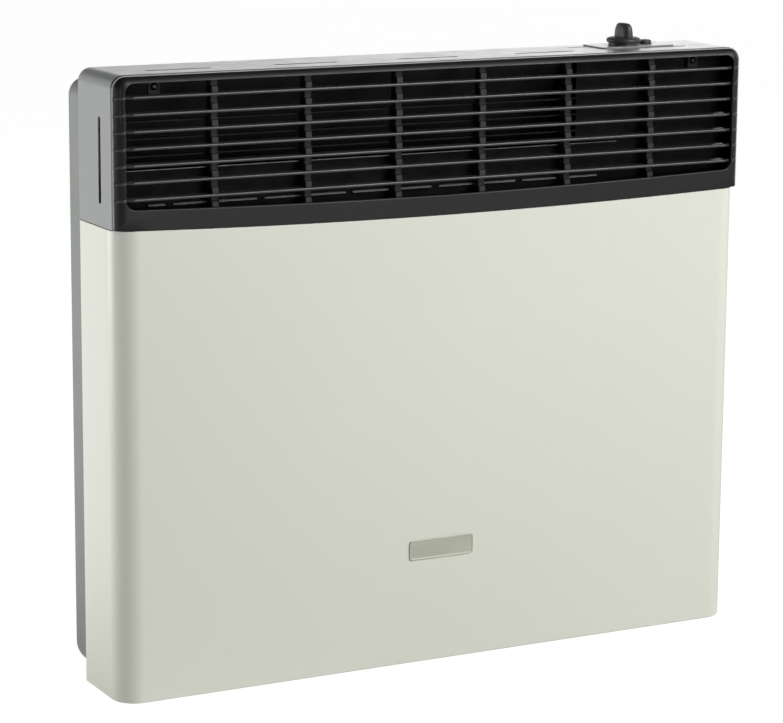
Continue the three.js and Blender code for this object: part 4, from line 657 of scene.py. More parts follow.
SLOT_FINISHES = {
    "pan_grey": "pan_enamel",
    "cream_enamel": "cream_enamel",
    "hood_grey": "hood_enamel",
    "grille_black": "moulded_black",
    "black_sheet": "heat_black",
    "badge_silver": "satin_badge",
    "knob_grey": "moulded_grey",
    "steel": "bright_steel",
    "blackened_steel": "blackened_steel",
    "galvanised": "zinc_coat",
    "spring_steel": "spring_wire",
    "cast_aluminium": "cast_metal",
    "brass": "turned_brass",
    "copper": "drawn_copper",
    "stove_black": "stove_enamel",
    "fibre": "fibre_sheet",
    "ceramic": "glazed_ceramic",
    "glass": "heat_glass",
    "black_plastic": "black_mould",
    "red_silicone": "red_silicone",
}


# ---------------------------------------------------------------- outer shells

def casing_path():
    """Plan of the casing's outer skin from its left rear lip to its right rear lip.

    Gives the points, their outward normals and how deep a return lip may reach there. The left
    half is straight lip, tight rear corner, side, bend and front; the right half mirrors it.
    """
    bend, sheet, lip = sizes().casing_bend, sizes().sheet, sizes().casing_lip
    rear, tight, count = CASING_REAR, CASING_EDGE, 14
    side_lip = HALF - (PAN_HIGH[0] + CLEARANCE)
    corner, front_bend = np.linspace(90, 180, 6)[1:], np.linspace(180, 270, count)[1:]
    corner_skin = turn((-HALF + tight, rear - tight), tight, 90, 180, 6)[1:]
    bend_skin = turn((-HALF + bend, FRONT + bend), bend, 180, 270, count)[1:]
    points = np.vstack([
        [(-HALF + side_lip, rear), (-HALF + tight, rear)],
        corner_skin,
        [(-HALF, rear - 0.004), (-HALF, rear - 0.012), (-HALF, FRONT + bend)],
        bend_skin,
        run((-HALF + bend, FRONT), (0.0, FRONT), count + 1)[1:],
    ])
    angle = np.radians(np.concatenate([[90] * 2, corner, [180] * 3, front_bend, [270] * count]))
    normal = np.stack([np.cos(angle), np.sin(angle)], -1)
    reach = np.concatenate([
        [sheet] * 8, [side_lip] * 2, np.linspace(side_lip, lip, count)[1:], [lip] * count,
    ])
    mirror = np.array([-1.0, 1.0])
    points = np.vstack([points, points[-2::-1] * mirror])
    normal = np.vstack([normal, normal[-2::-1] * mirror])
    return points, normal, np.concatenate([reach, reach[-2::-1]])


def casing_shell():
    """Front and sides in one sheet: an upright section with return lips, carried along the plan.

    A section point is (inward depth, height share, height offset): the depth is measured along
    the path's normal, and the height runs from the casing's foot to the curved seam.
    """
    points, normal, reach = casing_path()
    top = seam_height(points[:, 0], HALF - sizes().casing_bend)
    foot_edge, top_edge, sheet = CASING_EDGE, 0.0004, sizes().sheet
    hem = sheet * 1.3
    whole = 1.0
    quarter = angles(0, 90, 6)
    edge = list(zip(1 - np.cos(quarter), 1 - np.sin(quarter)))
    section = [(whole, 0, 0)]
    section += [(foot_edge * inward, 0, foot_edge * upward) for inward, upward in edge[::-1]]
    section += [(0, share, 0) for share in (0.2, 0.4, 0.6, 0.8)]
    section += [(top_edge * inward, 1, -top_edge * upward) for inward, upward in edge]
    section += [(whole, 1, 0), (whole, 1, -sheet), (hem, 1, -sheet), (sheet, 1, -hem)]
    section += [(sheet, 0, hem), (hem, 0, sheet), (whole, 0, sheet)]
    rings = []
    for depth, share, offset in section:
        plan = points - normal * np.minimum(depth, reach)[:, None]
        rings.append(np.column_stack([plan, BASE + share * (top - BASE) + offset]))
    return skin(rings, around=False, along=True, caps="sides")


def hood_rings():
    """Rings of the hood: from its rear lip over the outer skin to the front edge and back inside.

    A ring is the arch of the hood's outline at an inset, set at a depth. Round the front bend the
    inset is b(1 - cos a) and the depth b sin a past the bend's start.
    """
    size = sizes()
    bend, sheet, corner, rear_round = size.front_bend, size.sheet, size.hood_corner, size.rear_round
    rear, wrap = CASING_REAR, size.hood_wrap

    def ring(inset, depth):
        return place(arch(HALF - inset, HOOD_FOOT, TOP - inset, corner - inset), "y", depth)

    def bent(radius, angle):
        return ring(bend - radius * math.cos(angle), FRONT + bend - radius * math.sin(angle))

    passage_corner = PAN_CORNER_HIGH + CLEARANCE
    passage = arch(PAN_HIGH[0] + CLEARANCE, HOOD_FOOT, PAN_HIGH[2] + CLEARANCE, passage_corner)
    rings = [place(passage, "y", rear)]
    for angle in angles(90, 0, 5):
        turned_in = rear_round * (1 - math.cos(angle))
        rings.append(ring(turned_in, rear - rear_round * (1 - math.sin(angle))))
    rings += [ring(0.0, rear - 0.02), ring(0.0, FRONT + bend + 0.004)]
    rings += [bent(bend, angle) for angle in np.linspace(0, wrap, 8)]
    middle, half_sheet = bend - sheet / 2, sheet / 2
    for angle in angles(0, 180, 7)[1:-1]:
        ahead = wrap + half_sheet * math.sin(angle) / middle
        rings.append(bent(middle + half_sheet * math.cos(angle), ahead))
    rings += [bent(bend - sheet, angle) for angle in np.linspace(wrap, 0, 6)]
    inside = rear - rear_round - sheet
    return rings + [ring(sheet, inside), place(passage, "y", inside)]


def seam_strip():
    """Black strip in the gap under the hood's sides, just inside the two skins: painted shade that
    darkens the seam gap.
    """
    depth = (FRONT + sizes().front_bend + 0.001, CASING_REAR - 0.002)
    height = (SEAM - 0.0001, HOOD_FOOT + 0.0001)
    across = (HALF - 0.0010, HALF - 0.0002)
    left = (-across[1], -across[0])
    return joined(block(left, depth, height), block(across, depth, height))


def slot_shape(centre, half_length, half_width, axis_first=True):
    """A slot with round ends: two half circles joined by straight sides."""
    ends = np.vstack([
        turn((half_length - half_width, 0.0), half_width, -90, 90, 9),
        turn((-half_length + half_width, 0.0), half_width, 90, 270, 9),
    ])
    return np.array(centre) + (ends if axis_first else ends[:, ::-1])


def hood_cutters():
    """The five top slots, the sight slot, the two side slots and the holes for the controls."""
    size = sizes()
    slot_y = FRONT + size.slot_setback
    half_length, half_width = size.slot_length / 2, size.slot_width / 2
    past = 0.004
    over = (TOP - past, TOP + past)
    sight_slot = slot_shape((0.189, FRONT + 0.070), 0.0105, 0.0025)
    side_half, side_top = 0.041, TOP - 0.040
    upright = slot_shape((slot_y, side_top - side_half), side_half, half_width, axis_first=False)
    return [
        *[prism(slot_shape((step * size.slot_pitch, slot_y), half_length, half_width), "z", *over)
          for step in range(-2, 3)],
        prism(sight_slot, "z", *over),
        prism(upright, "x", -HALF - past, -HALF + past),
        prism(upright, "x", HALF - past, HALF + past),
        *control_cutters(over),
    ]


def control_cutters(span):
    """Round holes for the knob's spindle and the igniter's barrel."""
    centre, radius = round_box("igniter_body", "z")[:2]
    return [
        drill(SPINDLE_HOLE, span, "z", middle_of("knob_spindle")[:2], 24),
        drill(radius + CLEARANCE, span, "z", centre, 40),
    ]


def pan_outline(inset):
    """The wall pan's round-cornered outline, moved inwards."""
    return rounded(PAN_LOW[0] + inset, PAN_HIGH[0] - inset, PAN_LOW[2] + inset, PAN_HIGH[2] - inset,
                   PAN_CORNER_LOW - inset, PAN_CORNER_HIGH - inset, 10)


def pan_shell():
    """Pressed tray: outlines from the floor's back, along the sides to the rim and back inside.

    Round the edge the inset is r(1 - sin a) and the depth r(1 - cos a).
    """
    edge, sheet = sizes().pan_edge, sizes().pan_sheet
    rim, soft = PAN_LOW[1], 0.0004
    inner, floor = edge - sheet, edge + 0.002

    def bent(start, radius, angle):
        return start + radius * (1 - math.sin(angle)), -start - radius * (1 - math.cos(angle))

    return plate(pan_outline, "y", [
        (floor, 0.0), *[bent(0.0, edge, angle) for angle in angles(0, 90, 7)], (0.0, -0.02),
        (0.0, rim + soft), (soft, rim), (sheet - soft, rim), (sheet, rim + soft),
        *[bent(sheet, inner, angle) for angle in angles(90, 0, 7)], (floor, -sheet),
    ])


def pan_cutters():
    """Keyholes, lower screw holes and the two duct holes in the pan's floor."""
    through = (-0.006, 0.004)
    keyhole_z, foot_z, hole_x = PAN_HIGH[2] - 0.042, BASE + 0.040, 0.230
    head, neck_half, foot_hole, duct_hole = 0.0065, 0.003, 0.0035, 0.0403
    cutters = []
    for x in (-hole_x, hole_x):
        neck = slot_shape((x, keyhole_z + head), 0.0095, neck_half, axis_first=False)
        cutters += [
            drill(head, through, "y", (x, keyhole_z), 32),
            prism(neck, "y", *through),
            drill(foot_hole, through, "y", (x, foot_z), 24),
        ]
    for node in ("exhaust_spigot", "intake_spigot"):
        cutters.append(drill(duct_hole, through, "y", middle_of(node)[[0, 2]], 64))
    return cutters


# ---------------------------------------------------------------- grille

def frame_loop(half, foot_rise, top, low_radius, high_radius):
    """A closed loop round the grille, clockwise from its left foot; its bottom follows the seam.

    All loops have the same number of points on each side and corner, so they can be joined.
    """
    flat = HALF - sizes().casing_bend
    side, corner, across = 14, 9, 41
    foot = seam_height(np.array([half]), flat)[0] + foot_rise
    bottom_x = np.linspace(half - low_radius, -half + low_radius, across)
    bottom = np.stack([bottom_x, seam_height(bottom_x, flat) + foot_rise], -1)
    low_right = turn((half - low_radius, foot + low_radius), low_radius, 0, -90, corner)
    low_left = turn((-half + low_radius, foot + low_radius), low_radius, -90, -180, corner)
    dip = np.linspace(0.0, 1.0, corner) * (bottom[0, 1] - foot)
    low_right[:, 1] += dip
    low_left[:, 1] += dip[::-1]
    inner, shoulder = half - high_radius, top - high_radius
    return np.vstack([
        run((-half, foot + low_radius), (-half, shoulder), side)[1:-1],
        turn((-inner, shoulder), high_radius, 180, 90, corner),
        run((-inner, top), (inner, top), across)[1:-1],
        turn((inner, shoulder), high_radius, 90, 0, corner),
        run((half, shoulder), (half, foot + low_radius), side)[1:-1],
        low_right,
        bottom[1:-1],
        low_left,
    ])


def grille_frame():
    """Moulded frame: loops from the skirt over the bent front skin to the window and back inside.

    Between the outer loop and the window a point moves on a straight line in X and Z, and its
    depth comes from the bent front skin. On the side rails a bell-shaped valley and, beside the
    window, the round of a bead are added to that depth.
    """
    size = sizes()
    bend, gap = size.front_bend, size.seam_gap
    sheet_mouth = bend - (bend - size.sheet) * math.cos(size.hood_wrap)
    ledge = 0.0006
    shoulder = size.hood_wrap + ledge / bend
    shoulder_y = FRONT + bend - bend * math.sin(shoulder)
    skirt, lip, wall = sheet_mouth + CLEARANCE, bend * (1 - math.cos(shoulder)), 0.0025
    foot_round, hollow_front = 0.0012, FRONT + 0.014
    valley_depth, valley_middle, valley_spread = 0.0012, 0.68, 0.07
    bead_depth, bead_start, bead_span = 0.0008, 0.88, 0.121
    edge_round, more_at_top, more_in_corner = 0.0004, 0.0008, 0.0016
    beside_window, foot_band = 0.9, 0.0006

    def outer(inset, rise):
        return frame_loop(HALF - inset, rise, TOP - inset, foot_round, size.hood_corner - inset)

    window = frame_loop(HALF - size.side_rail, size.bottom_rail, TOP - size.top_rail,
                        size.window_corner, size.window_corner)
    mouth, skin_edge, hollow = outer(skirt, gap), outer(lip, gap), outer(skirt + wall, gap + wall)
    at_foot = mouth[:, 1] < SEAM + gap + foot_band
    step = np.where(at_foot, bend_plane(*skin_edge.T), shoulder_y)
    rings = [place(mouth, "y", GRILLE_REAR), place(mouth, "y", step), place(skin_edge, "y", step)]
    inward = window - skin_edge
    inward /= np.linalg.norm(inward, axis=1)[:, None]
    upward, aside = np.clip(inward[:, 1], 0.0, 1.0), np.abs(inward[:, 0])
    ease = (edge_round + more_at_top * upward + more_in_corner * upward * aside)[:, None]
    sideways = np.clip((aside - beside_window) / (1 - beside_window), 0.0, 1.0)
    for share in np.linspace(0.02, 1.0, 40):
        loop = skin_edge + (window - skin_edge) * share
        valley = valley_depth * math.exp(-((share - valley_middle) / valley_spread) ** 2)
        round_share = min(max((share - bead_start) / bead_span, 0.0), 1.0)
        bead = bead_depth * (1 - math.sqrt(1 - round_share ** 2))
        rings.append(place(loop, "y", bend_plane(*loop.T) + (valley + bead) * sideways))
    edge_y = rings[-1][:, 1]
    for angle in angles(15, 90, 6):
        loop = window + inward * ease * math.sin(angle)
        rings.append(place(loop, "y", edge_y + ease[:, 0] * (1 - math.cos(angle))))
    rings += [
        place(window + inward * ease, "y", edge_y + wall),
        place(hollow, "y", hollow_front),
        place(hollow, "y", GRILLE_REAR),
    ]
    return skin(rings, along=True)


def grille_rim():
    """A thin pale bead round the grille's top and sides, a little way in from the hood's edge; its
    pale grey is a painted highlight for the bright line along the grille's edge.

    It is a round section carried along the hood's arch, drawn in, at the depth of the bent front
    skin there.
    """
    inset, radius, sink, foot = 0.00105, 0.00078, 0.0001, HOOD_FOOT + 0.0012
    outline = arch(HALF - inset, foot, TOP - inset, sizes().hood_corner - inset, 14)
    return tube(place(outline, "y", bend_plane(*outline.T) + sink), radius, 12)


def bar_heights():
    """Heights of the bars' noses, from the top bar down."""
    top_bar = TOP - 0.0205
    return top_bar - sizes().bar_pitch * np.arange(sizes().bar_count)


def bar_section(height):
    """A louvre bar's section in Y and Z: a half-round nose and a thinner level blade behind it."""
    half, thin = sizes().bar_nose / 2, sizes().blade_sheet / 2
    nose_end, blade_start = FRONT + 0.0023, FRONT + 0.0044
    nose = turn((FRONT + half, height), half, 90, 270, 11)
    tail = turn((FRONT + sizes().blade_depth - thin, height), thin, -90, 90, 6)
    taper = run((nose_end, half), (blade_start, thin), 4)
    return np.vstack([nose, taper * [1, -1] + [0, height], tail, taper[::-1] + [0, height]])


def louvre_bar(height):
    """One bar carried across; near the rail its nose slopes back, 0.45 mm for each mm outwards."""
    slope, slope_reach, ease, nose_depth = 0.45, 0.0085, 0.0016, 0.012
    reach, inner = HALF - 0.008, HALF - sizes().side_rail
    start = inner - slope_reach
    ends = np.array([reach, inner, inner - 0.003, inner - 0.006,
                     start + ease / 2, start, start - ease / 2, start - 0.004])
    x = np.concatenate([-ends, np.linspace(-start + 0.01, start - 0.01, 13), ends[::-1]])
    section = bar_section(height)
    beyond = np.maximum(np.abs(x) - start, 0.0)
    back = slope * beyond * np.clip(beyond / ease, 0.0, 1.0)
    near_nose = np.clip((FRONT + nose_depth - section[:, 0]) / nose_depth, 0.0, 1.0)
    rings = np.empty((len(x), len(section), 3))
    rings[:, :, 0] = x[:, None]
    rings[:, :, 1] = section[None, :, 0] + back[:, None] * near_nose[None, :]
    rings[:, :, 2] = section[None, :, 1]
    return skin(rings, caps="rings")


def rail_ridge(height, side):
    """A low half-round ridge that carries a bar's line round the side rail's bend.

    Its section stands out from the bend's circle by up to 0.7 mm; it sweeps from beside the rim
    to the window.
    """
    bend, half = sizes().front_bend, sizes().bar_nose / 2
    sink, crown, root = 0.0004, 0.0011, 0.003
    sweep, section = angles(33, 84, 14), angles(-90, 90, 9)
    outward = np.concatenate([bend - sink + crown * np.cos(section), [bend - root, bend - root]])
    lift = np.concatenate([half * np.sin(section), [half, -half]])
    x = side * np.minimum(HALF - bend + outward[None, :] * np.cos(sweep)[:, None], HALF)
    y = np.maximum(FRONT + bend - outward[None, :] * np.sin(sweep)[:, None], FRONT)
    z = np.broadcast_to(height + lift[None, :], x.shape)
    return skin(np.stack([x, y, z], -1), caps="rings")


def rib_places():
    """Places of the ribs across: an even pitch beside a slightly narrower middle gap."""
    narrower = 0.0025
    step = np.arange(sizes().rib_count) - (sizes().rib_count - 1) / 2
    return step * sizes().rib_pitch - np.sign(step) * narrower


def rib_column(x):
    """An upright rib whose front stands forward for a little way above each bar.

    There it slopes back slightly, and the rest up to the next bar lies 2 mm deeper. The plan is a
    flat front with rounded corners, and it is moved to the front's depth at every height.
    """
    half, corner = sizes().rib_width / 2, 0.0012
    front, rear, top = FRONT + 0.0075, FRONT + 0.0185, TOP - 0.0062
    rail, blade_half, deeper = sizes().bottom_rail / 2, sizes().blade_sheet / 2, 0.002
    foot = seam_height(np.array([x]), HALF - sizes().casing_bend)[0] + rail
    low = np.concatenate([bar_heights() + blade_half, [foot + rail]])[:, None]
    heights = low + np.array([[-0.0002, 0.0, 0.0055, 0.0064]])
    depths = front + np.array([[deeper, -0.0002, 0.0004, deeper]])
    depths = np.broadcast_to(depths, heights.shape).ravel()
    order = np.argsort(heights.ravel())
    heights = np.concatenate([[foot], heights.ravel()[order], [top]])
    depths = np.concatenate([[front], depths[order], [front + deeper]])
    left = turn((0.0, corner), corner, 180, 270, 5) - [half - corner, 0.0]
    nose = np.vstack([left, left[::-1] * [-1, 1]])
    rings = []
    for height, depth in zip(heights, depths):
        outline = np.vstack([nose + [x, depth], [[x + half, rear], [x - half, rear]]])
        rings.append(place(outline, "z", height))
    return skin(rings, caps="rings")


def corner_web(height):
    """A small web on a blade near its right end: a sloping front and a level top, lower inwards."""
    inner, top = HALF - sizes().side_rail, height + sizes().blade_sheet / 2
    front, back, sunk = 0.0060, 0.0130, -0.0003
    rings = []
    for setback, rise in ((0.0062, 0.0003), (0.0085, 0.0014), (0.0120, 0.0013), (0.0220, 0.0002)):
        outline = np.array([[front, sunk], [front + rise * 0.9, rise], [back, rise], [back, sunk]])
        rings.append(place(outline + [FRONT, top], "x", inner - setback))
    return skin(rings, caps="rings")


def screw_lug(x):
    """The lug behind the top bar that takes a fixing screw."""
    half, depth, foot, top = 0.006, 0.0025, TOP - 0.0197, TOP - 0.0018
    return block((x - half, x + half), (GRILLE_REAR - depth, GRILLE_REAR), (foot, top))


# ---------------------------------------------------------------- inner sheets

DEFLECTOR_Y = FRONT + 0.023
DEFLECTOR_TOP = TOP - 0.0901
DEFLECTOR_REACH = HALF - 0.0052
LIP_FRONT = FRONT + 0.0188
LIP_END = 0.207
EDGE_DEPTH = 0.0006
VANE_END = float(corners("air_guide")[1][0])


def vane_heights():
    """Heights of the three vanes above the deflector's top lip, from the lowest up."""
    first, pitch = DEFLECTOR_TOP + 0.0133, 0.0162
    return first + pitch * np.arange(3)


def deflector_sheet():
    """Black sheet behind the bars: its bent section and its top lip."""
    sheet = sizes().sheet
    y, top = DEFLECTOR_Y, DEFLECTOR_TOP
    bottom, toe = top - 0.0429, (0.010, -0.005)
    reach = HALF - sheet - CLEARANCE
    line = [(y, top), (y, bottom), (y + toe[0], bottom + toe[1])]
    wall = prism(bent_sheet(line, sheet), "x", -reach, reach)
    lip = block((-DEFLECTOR_REACH, LIP_END), (LIP_FRONT + 0.0004, y + sheet), (top - sheet, top))
    return joined(wall, lip)


def deflector_vanes():
    """Three level vanes above the deflector, held by upright straps."""
    sheet, half_strap = sizes().sheet, 0.003
    rear, heights = DEFLECTOR_Y + sheet, vane_heights()
    vanes = [block((-DEFLECTOR_REACH, VANE_END), (LIP_FRONT, rear), (height - sheet, height))
             for height in heights]
    straps = [block((x - half_strap, x + half_strap), (DEFLECTOR_Y, rear),
                    (DEFLECTOR_TOP - sheet, heights[-1] - CLEARANCE)) for x in rib_places()[:4]]
    return joined(*vanes, *straps)


def lip_edge():
    """Bare front edge of the deflector's top lip, made light as a painted highlight along the lip.
    """
    return block((-DEFLECTOR_REACH, LIP_END), (LIP_FRONT, LIP_FRONT + EDGE_DEPTH),
                 (DEFLECTOR_TOP - 0.0007, DEFLECTOR_TOP))


def pressed_lips():
    """The row of small lips pressed out of the deflector, each a quarter-round shelf; their
    near-white finish is a painted highlight.
    """
    height, half, depth = TOP - 0.1239, 0.0008, 0.003
    first, pitch, count, half_length, row_end = -0.306, 0.0472, 11, 0.0195, -0.303
    angle = angles(0, 90, 7)
    face = [DEFLECTOR_Y - depth * np.cos(angle), height - half + 2 * half * np.sin(angle)]
    rear = DEFLECTOR_Y + EDGE_DEPTH
    outline = np.vstack([np.stack(face, -1), [[rear, height + half], [rear, height - half]]])
    return joined(*[prism(outline, "x", max(x - half_length, row_end), x + half_length)
                    for x in first + pitch * np.arange(count)])


def guide_sheet():
    """Black sheet that turns the rising air forwards."""
    low, high = corners("air_guide")
    sheet = sizes().sheet
    rear, foot = high[1] - sheet, low[2]
    line = [(rear, foot), (rear, foot + 0.016), (rear - 0.028, foot + 0.040),
            (low[1] + sheet * 0.6, high[2] - 0.0006)]
    return prism(bent_sheet(line, -sheet), "x", low[0], high[0])


# ---------------------------------------------------------------- small pieces on the outside

def badge_form():
    """Badge: a plate with a round raised rim and a bare, slightly sunk field."""
    low, high = corners("badge_plate")
    face, back, corner, least = low[1], high[1], 0.003, 0.0012

    def outline(inset):
        radius = max(corner - inset, least)
        return rounded(low[0] + inset, high[0] - inset, low[2] + inset, high[2] - inset,
                       radius, radius, 7)

    sections = ((0.0, 0.0006), (0.00018, 0.00018), (0.0006, 0.0), (0.0010, 0.00008),
                (0.0014, 0.0004), (0.0018, 0.0005), (0.0030, 0.0005))
    levels = [(0.0, back), *[(inset, face + depth) for inset, depth in sections]]
    return plate(outline, "y", levels)


def control_plate_form():
    """Thin plate on the hood with softened edges."""
    low, high = corners("control_plate")
    corner, soft, facet = 0.006, 0.0005, 0.00015

    def outline(inset):
        radius = corner - inset
        return rounded(low[0] + inset, high[0] - inset, low[1] + inset, high[1] - inset,
                       radius, radius, 9)

    return plate(outline, "z", [
        (0.0, low[2]), (0.0, high[2] - soft), (facet, high[2] - facet), (soft, high[2]),
    ])


def profiled(radius, foot, points):
    """A turned profile from distances inside a radius and heights above a foot."""
    return [(radius - inset, foot + rise) for inset, rise in points]


def knob_form():
    """Knob: a turned base, hollow underneath, and an oblong grip.

    The grip's half width and half length shrink with the height angle as powers of its cosine,
    and its height grows with the sine, which closes it in a dome.
    """
    centre, radius, foot, top = round_box("control_knob", "z")
    ceiling, grip_foot = foot + 0.0034, foot + 0.0045
    base = turned([
        (0.0030, ceiling), (radius - 0.0016, ceiling),
        *profiled(radius, foot, (
            (0.0012, 0.0030), (0.0012, 0.0003), (0.0009, 0.0), (0.0004, 0.0), (0.0, 0.0006),
            (0.0, 0.0026), (0.0005, 0.0034), (0.0018, 0.0042), (0.0036, 0.0048), (0.0060, 0.0051),
        )),
        (0.0020, foot + 0.0054),
    ], "z", centre, 64)
    angle = angles(0, 88, 22)
    half_width, half_length = 0.0066, 0.0130
    width = half_width * np.cos(angle) ** 0.50
    reach = half_length * np.cos(angle) ** 0.36
    height = grip_foot + (top - grip_foot) * np.sin(angle)
    around = np.linspace(0.0, 2 * math.pi, 48, endpoint=False)
    boxiness = 0.82
    plan_x, plan_y = [np.sign(wave) * np.abs(wave) ** boxiness
                      for wave in (np.cos(around), np.sin(around))]
    rings = np.stack([
        centre[0] + width[:, None] * plan_x[None, :],
        centre[1] + reach[:, None] * plan_y[None, :],
        np.broadcast_to(height[:, None], (len(height), len(around))),
    ], -1)
    return joined(base, skin(rings, caps="rings"))


def knob_collar():
    """Fixed ring on the control plate, which the hollow knob goes down over when it is pushed."""
    centre, radius, knob_foot = round_box("control_knob", "z")[:3]
    foot, top = float(corners("control_plate")[1][2]) - 0.0001, knob_foot - 0.0001
    inner, outer, soft = 0.0060, radius - 0.0021, 0.0005
    return hollow_turned([
        (inner, foot), (outer, foot), (outer, top - soft), (outer - soft, top),
        (inner + soft, top), (inner, top - soft),
    ], "z", centre)


def button_form():
    """Round push button with a dished crown."""
    centre, radius, foot, top = round_box("igniter_button", "z")
    return turned([
        *profiled(radius, foot, ((0.0005, 0.0), (0.0, 0.0005))),
        *profiled(radius, top, (
            (0.0, -0.0014), (0.0003, -0.0006), (0.0010, -0.0001), (0.0017, 0.0), (0.0026, -0.0003),
        )),
        (0.001, top - 0.0006),
    ], "z", centre)


def screw_form(node):
    """Pan-head screw: a domed head on a shank."""
    centre, radius, face, end = round_box(node, "y")
    shank, point, head = 0.0015, 0.0009, 0.0020
    dome = ((0.3, 0.00002), (0.55, 0.0001), (0.82, 0.0005), (0.97, 0.0012), (1.0, 0.0018),
            (0.97, head))
    return turned([
        *[(radius * share, face + depth) for share, depth in dome],
        (shank, face + head), (shank, end - 0.0006), (point, end),
    ], "y", centre, 28)


def cross_recess(node):
    """The cross in a screw's head, as two short cutting blocks."""
    (x, z), radius, face = round_box(node, "y")[:3]
    depth, arm, half = (face - 0.001, face + 0.001), radius * 0.6, 0.0004
    return [
        block((x - arm, x + arm), depth, (z - half, z + half)),
        block((x - half, x + half), depth, (z - arm, z + arm)),
    ]


FLANGE_WIDTH = 0.0135


def duct_form(node):
    """Round duct with a flange at its inner end and a rolled outer rim."""
    centre, flange, inner_end, outer_end = round_box(node, "y")
    bore, wall, soft, fillet = flange - FLANGE_WIDTH, 0.0015, 0.0004, 0.0012
    outer, face = bore + wall, inner_end + wall
    return hollow_turned([
        (bore, outer_end - soft), (bore + soft, outer_end), (outer - soft, outer_end),
        (outer, outer_end - soft), (outer, face + fillet), (outer + soft, face + soft),
        (outer + fillet, face), (flange - soft, face), (flange, face - soft),
        (flange, inner_end + 0.0003), (flange - 0.0003, inner_end), (bore + 0.001, inner_end),
        (bore, inner_end + 0.001),
    ], "y", centre)


def gasket_form(node):
    """Flat fibre ring with soft edges."""
    centre, outer, start, end = round_box(node, "y")
    bore, soft = outer - FLANGE_WIDTH, 0.0005
    return hollow_turned([
        (bore, start + soft), (bore + soft, start), (outer - soft, start), (outer, start + soft),
        (outer, end - soft), (outer - soft, end), (bore + soft, end), (bore, end - soft),
    ], "y", centre)


# ---------------------------------------------------------------- gas and ignition pieces

def spindle_form():
    """The knob's spindle: a round bar with softened ends."""
    centre, radius, start, end = round_box("knob_spindle", "z")
    soft = 0.0004
    return turned([
        (radius - soft, start), (radius, start + soft), (radius, end - soft), (radius - soft, end),
    ], "z", centre, 32)


def supply_form():
    """The open supply pipe, upright."""
    centre, radius, start, end = round_box("supply_pipe", "z")
    bore = radius - 0.001
    return hollow_turned([
        (bore, start), (radius, start), (radius, end), (bore, end),
    ], "z", centre, 40)


def level_of(node, corner, axis):
    """One bound of a solid: its low (0) or high (1) corner along an axis."""
    return float(corners(node)[corner]["xyz".index(axis)])


KNOB_Y = float(middle_of("knob_spindle")[1])
VALVE_LEFT, VALVE_RIGHT = (level_of("gas_valve_body", corner, "x") for corner in (0, 1))
VALVE_FOOT = BASE + 0.480
TUBE_TOP = VALVE_FOOT - 0.0003
END_PLATE_X = level_of("burner_gasket", 0, "x")
BURNER_Y, BURNER_Z = (float(value) for value in middle_of("injector")[1:])
PILOT = (BURNER_Y - 0.014, BURNER_Z + 0.034)
SPARK = (BURNER_Y + 0.004, BURNER_Z + 0.040)
THERMO = (BURNER_Y + 0.020, BURNER_Z + 0.030)


def manifold_form():
    """Pipe from the valve down and across to the injector."""
    x, end = float(middle_of("manifold_nut")[0]), level_of("manifold_pipe", 0, "x")
    points = [
        (x, KNOB_Y, VALVE_FOOT - 0.0063), (x, KNOB_Y, BURNER_Z + 0.060), (x, BURNER_Y, BURNER_Z),
        (end, BURNER_Y, BURNER_Z),
    ]
    return pipe(points, bend=0.009, radius=0.005, sides=20)


def pilot_tube_form():
    """Thin tube from the valve to the pilot burner."""
    x, end = VALVE_LEFT + 0.028, level_of("pilot_tube", 0, "x")
    points = [(x, KNOB_Y - 0.018, TUBE_TOP), (x, *PILOT), (end, *PILOT)]
    return pipe(points, bend=0.012, radius=0.002)


def lead_form():
    """Insulated ignition lead from the igniter to the spark electrode."""
    top, end = level_of("ignition_wire", 1, "z"), END_PLATE_X + 0.0243
    x, y = middle_of("igniter_body")[:2]
    points = [(x, y, top), (x, y, BASE + 0.260), (end + 0.060, *SPARK), (end, *SPARK)]
    return pipe(points, bend=0.016, radius=0.0016, steps=12)


def thermocouple_form():
    """Brass-sheathed tip and its copper lead up to the valve."""
    x, lead_x = END_PLATE_X, VALVE_LEFT + 0.040
    tip = turned([
        (0.0022, x - 0.030), (0.0030, x - 0.028), (0.0030, x + 0.012), (0.0018, x + 0.014),
    ], "x", THERMO, 20)
    points = [(x + 0.012, *THERMO), (lead_x, *THERMO), (lead_x, KNOB_Y + 0.018, TUBE_TOP)]
    return joined(tip, pipe(points, bend=0.014, radius=0.0015, sides=10))


def bulb_form():
    """Sensing bulb with its capillary up to the valve."""
    x, y, z = HALF - 0.200, -0.0235, BASE + 0.062
    riser, top = VALVE_RIGHT - 0.006, level_of("thermostat_bulb", 1, "z")
    bulb = turned([
        (0.0012, x - 0.045), (0.0030, x - 0.0445), (0.0040, x - 0.042), (0.0040, x + 0.040),
        (0.0030, x + 0.043), (0.0013, x + 0.045),
    ], "x", (y, z), 28)
    points = [(x + 0.044, y, z), (riser, y, z), (riser, KNOB_Y + 0.012, top)]
    return joined(bulb, pipe(points, bend=0.012, radius=0.0012, sides=10))


def electrode_form():
    """Spark electrode: a thin rod whose tip bends towards the pilot."""
    x, (y, z) = END_PLATE_X, SPARK
    points = [(x + 0.024, y, z), (x - 0.027, y, z), (x - 0.027, y - 0.009, z + 0.002)]
    return pipe(points, bend=0.003, radius=0.0011, steps=8)


# ---------------------------------------------------------------- operators

DONE = {"FINISHED"}
UNDOABLE = {"REGISTER", "UNDO"}


class HEATER_OT_casing(bpy.types.Operator):
    """Cream front casing with its round upright bends"""
    bl_idname = "heater.casing"
    bl_label = "Front Casing"
    bl_options = UNDOABLE

    def execute(self, context):
        piece("casing_wrap", casing_shell(), "cream_enamel", "cream_enamel", "front_casing")
        return DONE


